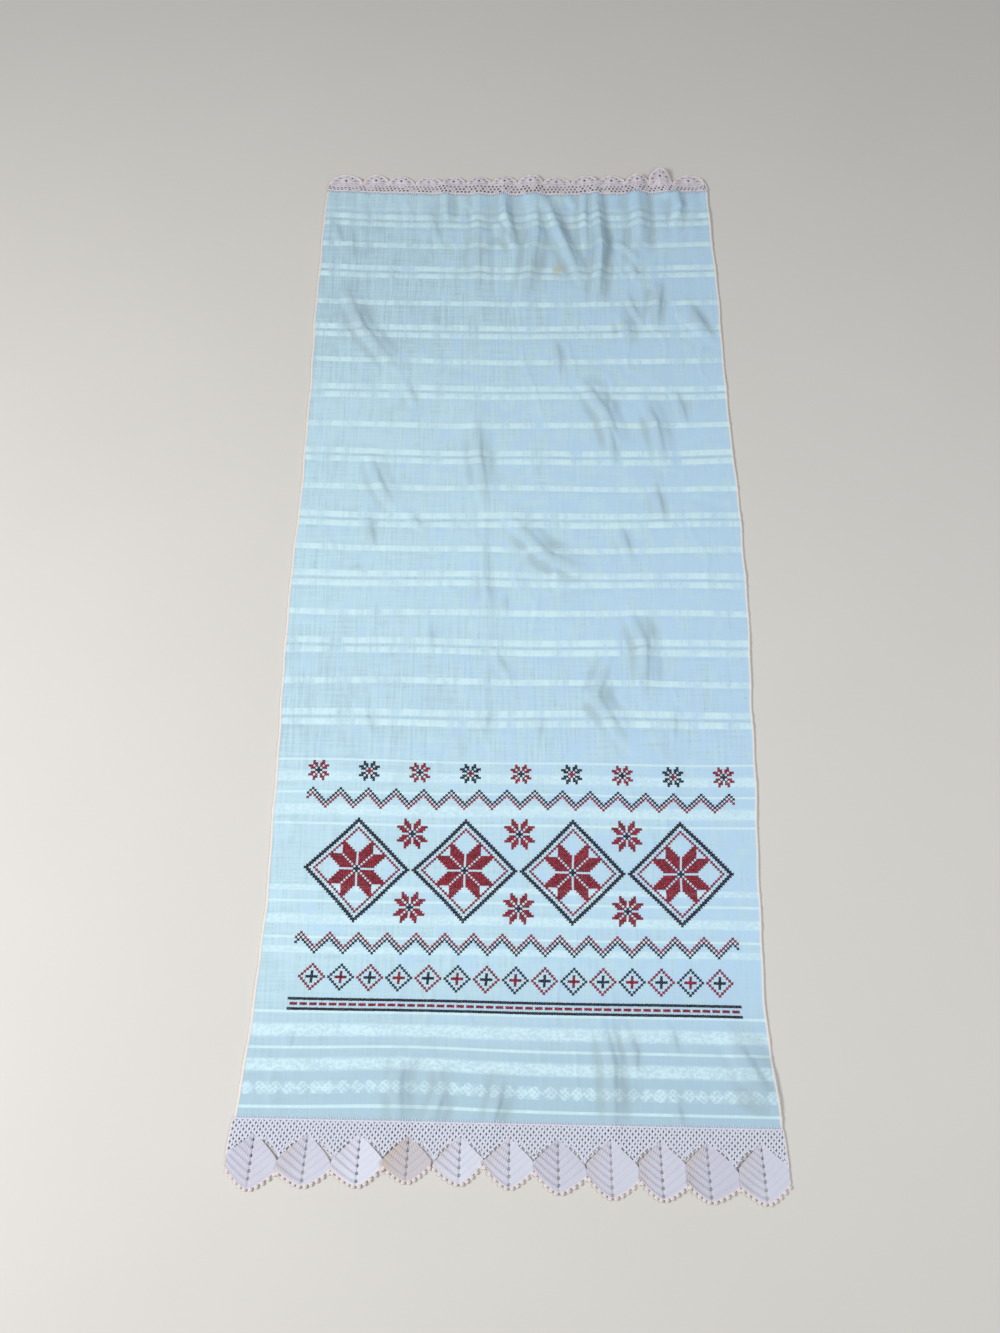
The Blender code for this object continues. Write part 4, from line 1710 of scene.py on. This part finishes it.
@dataclass(frozen=True)
class FanLace:
    """The top edging: a band of net with fourteen small domed fans."""

    finish: YarnFinish
    drape: Drape
    base: float = 0.8
    rib: float = 0.45
    rib_power: float = 0.6
    ribs: int = 11
    cells_to_rib: int = 7
    rows: int = 12
    base_y: float = 499.0
    sag: float = 1.6
    overlap: float = 0.1
    scallop: float = 0.03
    rim_power: float = 0.88
    side_power: float = -0.12
    hole: float = 1.2
    hole_up: float = 0.45
    hole_stretch: float = 1.3
    ring: float = 0.4
    outer_ring: Pair = (0.9, 0.09)
    inner_ring: Pair = (0.12, 0.1)
    stitch: float = 0.15
    stitch_pitch: float = 4.4
    stand_width: float = 0.35
    eyelet_row: float = 0.62
    eyelet: float = 0.7
    eyelets: tuple[float, ...] = (-0.28, -0.19, -0.1, 0.1, 0.19, 0.28)
    band_inset: float = 1.0
    band_spread: Pair = (4.2, -3.4)
    band_bump: float = 0.35
    band_rows: int = 10
    band_columns: int = 392
    band_gap: int = 4
    band_step: int = 3
    band_hole: float = 0.5
    band_open: float = 0.8
    seed: int = 3

    def make_fan(self, fan: Fan, right: float) -> Shape:
        """A fan: its outline is a half ellipse closed by a shallow curve, and its rows step out to it
        from a round hole near its middle; low ribs run out from the hole to a raised rim.

        Args:
            fan: the fan.
            right: its right notch.

        Returns:
            The fan.
        """
        columns = self.ribs * self.cells_to_rib + 1
        turn = np.linspace(-0.5 * np.pi, 1.5 * np.pi, columns)[None, :]
        out = np.linspace(0, 1, self.rows + 1)[:, None]
        half = (right - fan.left) / 2 + self.overlap
        middle = (fan.left + right) / 2
        high = fan.peak_y - self.base_y
        domed = np.sin(turn) > 0
        scallop = 1 + self.scallop * np.abs(np.cos(self.ribs * turn)) * domed
        dome = high * np.abs(np.sin(turn)) ** self.rim_power
        rise = np.where(domed, dome, self.sag * np.sin(turn)) * scallop
        rim_x = middle + half * np.cos(turn) * np.abs(np.cos(turn)) ** self.side_power * scallop
        rim_x = rim_x + fan.lean * np.clip(rise / high, 0, 1)
        start_x = middle + fan.lean * self.hole_up + self.hole * np.cos(turn)
        start_y = self.base_y + high * self.hole_up + self.hole * self.hole_stretch * np.sin(turn)
        x = start_x + (rim_x - start_x) * out
        y = start_y + (self.base_y + rise - start_y) * out
        crest = np.abs(np.cos(self.ribs * turn / 2)) ** self.rib_power
        outer, inner = (
            np.exp(-(((out - place) / width) ** 2)) for place, width in (self.outer_ring, self.inner_ring)
        )
        ring = domed * outer + 0.7 * inner
        stitch = np.cos(2 * np.pi * out * high / self.stitch_pitch + 2.0 * crest)
        relief = self.rib * (0.3 + 0.7 * crest) + self.ring * ring + self.stitch * stitch
        stand = fan.lift * np.exp(-(((x - middle - fan.lean) / (self.stand_width * half)) ** 2))
        lower = self.drape.points(x, y, 0.1 + stand * np.clip((y - self.base_y) / 4, 0, 1))
        upper = lower + lying(0.0, 0.0, self.base + relief)
        keep = np.ones((self.rows, columns - 1), bool)
        sides = np.round((0.5 + np.array(self.eyelets)) * (columns - 1)).astype(int)
        low = np.full(len(sides), round(self.rows * self.eyelet_row))
        open_holes([lower, upper], keep, low, sides, self.eyelet)
        # The crest value is painted light: lighter on the ribs and the rings.
        values = {
            "along": out * high,
            "turn_x": 0.4,
            "crest": 0.35 * crest + 0.4 * ring + 0.3 + 0.1 * stitch,
            "edge": np.clip((out - 0.75) / 0.2, 0, 1) * domed,
        }
        return sheet_shape(lower, upper, keep, values)

    def band(self) -> Shape:
        """The worked band between the cloth's top end and the fans: rows of eyelets, each row shifted
        by half a stitch and one eyelet in five closed, with a raised stitch between each two.

        Returns:
            The band.
        """
        row, column = np.mgrid[0 : self.band_rows + 1, 0 : self.band_columns + 1]
        share = row / self.band_rows
        left = TOP_LEFT + self.band_inset + self.band_spread[0] * share
        right = TOP_RIGHT - self.band_inset + self.band_spread[1] * share
        x = left + (right - left) * column / self.band_columns
        low = top_y(x) + 0.9
        y = low + (self.base_y + 0.5 - low) * share
        line = np.round((row - 2) / self.band_step)
        shift = 2 + self.band_gap / 2 * np.mod(line, 2)
        bump = np.sin(np.pi * (column - shift) / self.band_gap) ** 2
        lower = self.drape.points(x, y, 0.05)
        upper = lower + lying(0.0, 0.0, self.base + self.band_bump * bump)
        keep = np.ones((self.band_rows, self.band_columns), bool)
        chosen = (np.mod(row - 2, self.band_step) == 0) & (np.mod(column - shift, self.band_gap) == 0)
        chosen &= (row > 1) & (row < self.band_rows - 1) & (column > 1) & (column < self.band_columns - 1)
        chosen &= np.random.default_rng(self.seed).uniform(0, 1, row.shape) < self.band_open
        open_holes([lower, upper], keep, row[chosen], column[chosen], self.band_hole)
        # The crest value is painted light on the raised stitches.
        values = {"along": x, "turn_x": 0.4, "crest": 0.3 + 0.5 * bump, "edge": 0.05}
        return sheet_shape(lower, upper, keep, values)

    def end_chain(self, corner: float, end: float) -> Shape:
        """The worked edge that slopes from a corner of the cloth up to the first or last fan.

        Args:
            corner: where it starts, across the towel.
            end: where it ends.

        Returns:
            The chain.
        """
        share = np.linspace(0, 1, 60)
        x = corner + (end - corner) * share
        y = top_y(corner) + 0.8 + (self.base_y + 3 - top_y(corner)) * share
        return chain(self.drape.points(x, y, 0.8), 0.75, 0.85, share * 14, 0.8)

    def build(self) -> list[bpy.types.Object]:
        """Makes the fans and the net.

        Returns:
            The pieces.
        """
        material = self.finish.material()
        rights = [fan.left for fan in FANS[1:]] + [FANS_RIGHT]
        fans = [self.make_fan(fan, right) for fan, right in zip(FANS, rights)]
        x = np.linspace(TOP_LEFT + 0.5, TOP_RIGHT - 0.5, 1300)
        header = lying(x, top_y(x) + 0.4, self.drape.height(x, top_y(x)) + 0.9)
        net = [
            self.band(),
            self.end_chain(TOP_LEFT, FANS[0].left),
            self.end_chain(TOP_RIGHT, FANS_RIGHT),
            chain(header, 0.7, 0.85, x * 1.4, 0.3),
        ]
        return [
            Shape.join(fans).make("lace_top_fans", material),
            Shape.join(net).make("lace_top_net", material),
        ]


@dataclass(frozen=True)
class SeamStitches:
    """The small stitches that sew each lace to the cloth."""

    finish: YarnFinish
    cloth: WovenCloth
    pitch: float = 2.2
    radius: float = 0.42
    shift: Pair = (-0.35, 0.35)
    reach: Pair = (1.4, 3.4)
    lean: Pair = (-0.5, 0.5)
    behind: float = 0.9
    arch: tuple[float, ...] = (0.25, 0.3, 0.2, 0.1, -0.3)
    seed: int = 11

    def row(self, line: Callable[[Array], Array], inward: int, draws: np.random.Generator) -> Shape:
        """Short stitches across one seam: each starts in the lace's chain, lies on the cloth and dips
        into it.

        Args:
            line: the seam's height at each place across.
            inward: 1 where the cloth lies above the seam and -1 where it lies below.
            draws: the random numbers.

        Returns:
            The stitches.
        """
        left, right = edge_x(float(line(0.0)))
        x = np.arange(left + 1.5, right - 1.0, self.pitch)
        x = x + draws.uniform(*self.shift, len(x))
        reach = draws.uniform(*self.reach, len(x))
        lean = draws.uniform(*self.lean, len(x))
        share = np.linspace(0, 1, len(self.arch))[None, :]
        across = x[:, None] + lean[:, None] * share
        up = line(x)[:, None] + inward * (-self.behind + (reach[:, None] + self.behind) * share)
        ground = self.cloth.surface(across, up) + self.cloth.thickness
        path = lying(across, up, ground + np.array(self.arch))
        return yarns(path, self.radius, 5, 0.8, crest=1.0)

    def build(self) -> bpy.types.Object:
        """Makes both rows.

        Returns:
            The piece.
        """
        draws = np.random.default_rng(self.seed)
        rows = [self.row(hem_y, 1, draws), self.row(top_y, -1, draws)]
        return Shape.join(rows).make("seam_stitches", self.finish.material())


class Chart:
    """The embroidery's chart: a grid of cells counted from its middle, each bare, red or black."""

    def __init__(self, columns: int, rows: int) -> None:
        """Starts bare.

        Args:
            columns: an odd number of cells across.
            rows: an odd number of cells up.
        """
        self.cells = np.full((rows, columns), Thread.NONE.value)
        self.i, self.j = np.meshgrid(np.arange(columns) - columns // 2, np.arange(rows) - rows // 2)

    def put(self, where: Array, thread: Thread) -> None:
        """Fills cells with one thread."""
        self.cells[where] = thread.value

    def rhomb(self, i: int, j: int, size: int, wide: int, thread: Thread) -> None:
        """A rhomb's outline: cells whose steps from its middle add up to its size, or a little less."""
        steps = np.abs(self.i - i) + np.abs(self.j - j)
        self.put((steps <= size) & (steps > size - wide), thread)

    def star(self, i: int, j: int, size: int, petal: Thread, split: Thread = Thread.NONE) -> None:
        """An eight-pointed star: eight leaning petals, parted along the straights and diagonals.

        Args:
            i: its middle's column.
            j: its middle's row.
            size: half a petal's reach in cells.
            petal: the petals' thread.
            split: the thread between them.
        """
        a, b = np.abs(self.i - i), np.abs(self.j - j)
        low, high = np.minimum(a, b), np.maximum(a, b)
        inside = (low <= size) & (high - low <= size)
        self.put(inside, petal)
        self.put(inside & ((low == 0) | (low == high)), split)

    def cross(self, i: int, j: int, size: int, thread: Thread) -> None:
        """An upright cross, one cell wide."""
        a, b = np.abs(self.i - i), np.abs(self.j - j)
        self.put((np.minimum(a, b) == 0) & (np.maximum(a, b) <= size), thread)

    def zigzag(self, j: int, period: int, high: int, thread: Thread) -> None:
        """A zigzag line across the whole chart: its height falls and rises by one cell a column."""
        fold = np.abs(np.mod(self.i + period // 2, period) - period // 2)
        self.put(self.j == j + np.minimum(fold, high), thread)

    def line(self, j: int, thread: Thread, gap: int = 0) -> None:
        """A row of stitches, in which one of every few can be left out.

        Args:
            j: the row.
            thread: its thread.
            gap: how many columns lie from one left-out stitch to the next, or 0 for none.
        """
        row = self.j == j
        if gap:
            row &= np.mod(self.i, gap) != 0
        self.put(row, thread)


@dataclass(frozen=True)
class Embroidery:
    """Counted cross stitch in red and black: bands of rhombs, eight-pointed stars and zigzags."""

    cloth: WovenCloth
    red: StitchFinish
    black: StitchFinish
    columns: int = 185
    rows: int = 111
    pitch: float = 2.02
    middle: Pair = (0.5, -263.0)
    thread: float = 0.57
    seed: int = 5
    star_row: int = 50
    star_step: int = 22
    rhomb_row: int = 7
    rhomb_step: int = 46
    border_row: int = -38
    border_step: int = 12
    stitch_share: float = 0.46
    wobble: float = 0.09
    sunk: float = 0.12
    arches: Pair = (0.30, 0.55)

    def chart(self) -> Chart:
        """Draws the bands: small stars, a double zigzag, large rhombs with stars in and between them,
        another zigzag, small rhombs and a border of lines.

        Returns:
            The chart.
        """
        chart = Chart(self.columns, self.rows)
        red, black = Thread.RED, Thread.BLACK
        for step in range(-4, 5):
            place = step * self.star_step, self.star_row
            chart.star(*place, 2, black if step % 2 else red)
            chart.cross(*place, 1, red if step % 2 else black)
        for row, thread in ((36, black), (34, red), (-26, red), (-28, black)):
            chart.zigzag(row, 12, 6, thread)
        for step in range(-1, 3):
            place = step * self.rhomb_step - self.rhomb_step // 2, self.rhomb_row
            chart.rhomb(*place, 22, 2, black)
            chart.rhomb(*place, 18, 1, red)
            chart.star(*place, 6, red)
            chart.cross(*place, 1, black)
        for step in (-1, 0, 1):
            for side in (-1, 1):
                place = step * self.rhomb_step, self.rhomb_row + side * 16
                chart.star(*place, 3, red)
                chart.cross(*place, 1, black)
        for step in range(-7, 8):
            place = step * self.border_step, self.border_row
            chart.rhomb(*place, 5, 1, red if step % 2 else black)
            chart.cross(*place, 2, black if step % 2 else red)
        chart.line(-47, black)
        chart.line(-49, red, 4)
        chart.line(-51, black)
        return chart

    def stitches(self, chart: Chart, thread: Thread, draws: np.random.Generator) -> Shape:
        """Every stitch of one colour: two short threads that cross, each arched over the cloth and
        sunk into it at its ends.

        Args:
            chart: the chart.
            thread: the colour.
            draws: the random numbers.

        Returns:
            The stitches.
        """
        wanted = chart.cells == thread.value
        middle_x = self.middle[0] + chart.i[wanted][:, None] * self.pitch
        middle_y = self.middle[1] + chart.j[wanted][:, None] * self.pitch
        reach = self.stitch_share * self.pitch * np.linspace(-1, 1, 3)
        beside = EDGES[4]
        paths = []
        for lean, arch in zip((-1, 1), self.arches):
            wobble = draws.uniform(-self.wobble, self.wobble, (4, len(middle_x), 1))
            x = middle_x + reach * (1 + wobble[0]) + wobble[1]
            y = middle_y + lean * reach * (1 + wobble[2]) + wobble[3]
            across = (x - beside.left) / (beside.right - beside.left)
            place = self.cloth.outline(across, self.cloth.share_up(y))
            ground = self.cloth.surface(*place) + self.cloth.thickness
            paths.append(lying(*place, ground + np.array((-self.sunk, arch, -self.sunk))))
        tone = np.tile(np.clip(draws.normal(0.4, 0.22, len(middle_x)), 0, 1), 2)[:, None, None]
        return yarns(np.concatenate(paths), self.thread, 5, 0.7, tone=tone)

    def build(self) -> list[bpy.types.Object]:
        """Makes the stitches of each colour.

        Returns:
            The pieces.
        """
        chart = self.chart()
        draws = np.random.default_rng(self.seed)
        red = self.stitches(chart, Thread.RED, draws)
        black = self.stitches(chart, Thread.BLACK, draws)
        return [
            red.make("embroidery_red", self.red.material()),
            black.make("embroidery_black", self.black.material()),
        ]


@dataclass(frozen=True)
class Lamp:
    """A square soft light that looks at the towel's middle. Its place and side are in metres and its
    power is in watts."""

    name: str
    place: Triple
    side: float
    power: float
    colour: Triple

    def build(self) -> None:
        """Makes the light. Its tilt and turn come from the angles of the way to the middle."""
        light = bpy.data.lights.new(self.name, "AREA")
        light.size = self.side
        light.energy = self.power
        light.color = self.colour
        item = bpy.data.objects.new(self.name, light)
        x, y, z = self.place
        item.location = self.place
        item.rotation_euler = (math.atan2(math.hypot(x, y), z), 0.0, math.atan2(-x, y) + math.pi)
        bpy.context.scene.collection.objects.link(item)


@dataclass(frozen=True)
class Studio:
    """The pale floor, soft lights and the camera at the photo's angle."""

    floor: FloorFinish
    key: Lamp = Lamp("key", (-1.2, -0.45, 1.25), 0.6, 22.1, (1.0, 0.995, 0.99))
    fill: Lamp = Lamp("fill", (0.8, -0.45, 1.35), 1.0, 9.25, (0.97, 0.995, 1.0))
    sky: Colour = (0.98, 0.99, 1.0, 1.0)
    sky_strength: float = 0.27
    floor_reach: float = 4000.0
    floor_drop: float = 0.1
    camera_at: Triple = (-15.0, -465.0, 1027.4)
    looks_down: float = 68.63
    focal_share: float = 1200 / 1333
    film: float = 36.0

    def make_floor(self) -> bpy.types.Object:
        """A square just below the towel.

        Returns:
            The floor.
        """
        sides = np.array([(-1, -1), (1, -1), (1, 1), (-1, 1)]) * self.floor_reach
        corners = lying(sides[:, 0], sides[:, 1], -self.floor_drop)
        return Shape(corners, [np.array([[0, 1, 2, 3]])], {}).make("floor", self.floor.material())

    def make_world(self) -> None:
        """An even pale light from all around."""
        world = bpy.data.worlds.new("studio")
        world.use_nodes = True
        backdrop = world.node_tree.nodes["Background"]
        backdrop.inputs["Color"].default_value = self.sky
        backdrop.inputs["Strength"].default_value = self.sky_strength
        bpy.context.scene.world = world
        bpy.context.scene.view_settings.view_transform = "Standard"

    def make_camera(self) -> None:
        """The camera, with the photo's focal length as a share of its longer side."""
        lens = bpy.data.cameras.new("camera")
        lens.sensor_width = self.film
        lens.lens = self.film * self.focal_share
        camera = bpy.data.objects.new("camera", lens)
        camera.location = tuple(value * MM for value in self.camera_at)
        camera.rotation_euler = (math.radians(90 - self.looks_down), 0.0, 0.0)
        bpy.context.scene.collection.objects.link(camera)
        bpy.context.scene.camera = camera

    def build(self) -> None:
        """Makes the floor, the lights, the world and the camera."""
        self.make_floor()
        self.key.build()
        self.fill.build()
        self.make_world()
        self.make_camera()


def main() -> None:
    """Builds the towel piece by piece, hides the model's parts that the pieces stand in for, and
    hangs each piece from the root body.
    """
    logging.basicConfig(level=logging.INFO, format="%(message)s")
    drape = Drape()
    yarn = YarnFinish()
    weave = WovenCloth(ClothFinish(), drape)
    cloth = weave.build()
    bottom = LeafLace(yarn, drape).build()
    dull = YarnFinish("lace_yarn_dull", screen(222, 216, 223), screen(176, 168, 178), screen(234, 218, 214))
    top = FanLace(dull, drape).build()
    seams = SeamStitches(yarn, weave).build()
    red = StitchFinish("thread_red", screen(124, 6, 34), screen(176, 18, 56))
    black = StitchFinish("thread_black", screen(14, 18, 32), screen(42, 48, 72))
    threads = Embroidery(weave, red, black).build()
    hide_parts("cloth")
    for piece in bottom:
        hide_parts("lace_bottom")
    for piece in top:
        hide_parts("lace_top")
    for piece in (cloth, *threads):
        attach(piece, "root")
    for piece in (*bottom, *top, seams):
        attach(piece, "root")
    Studio(FloorFinish()).build()


if __name__ == "__main__":
    main()
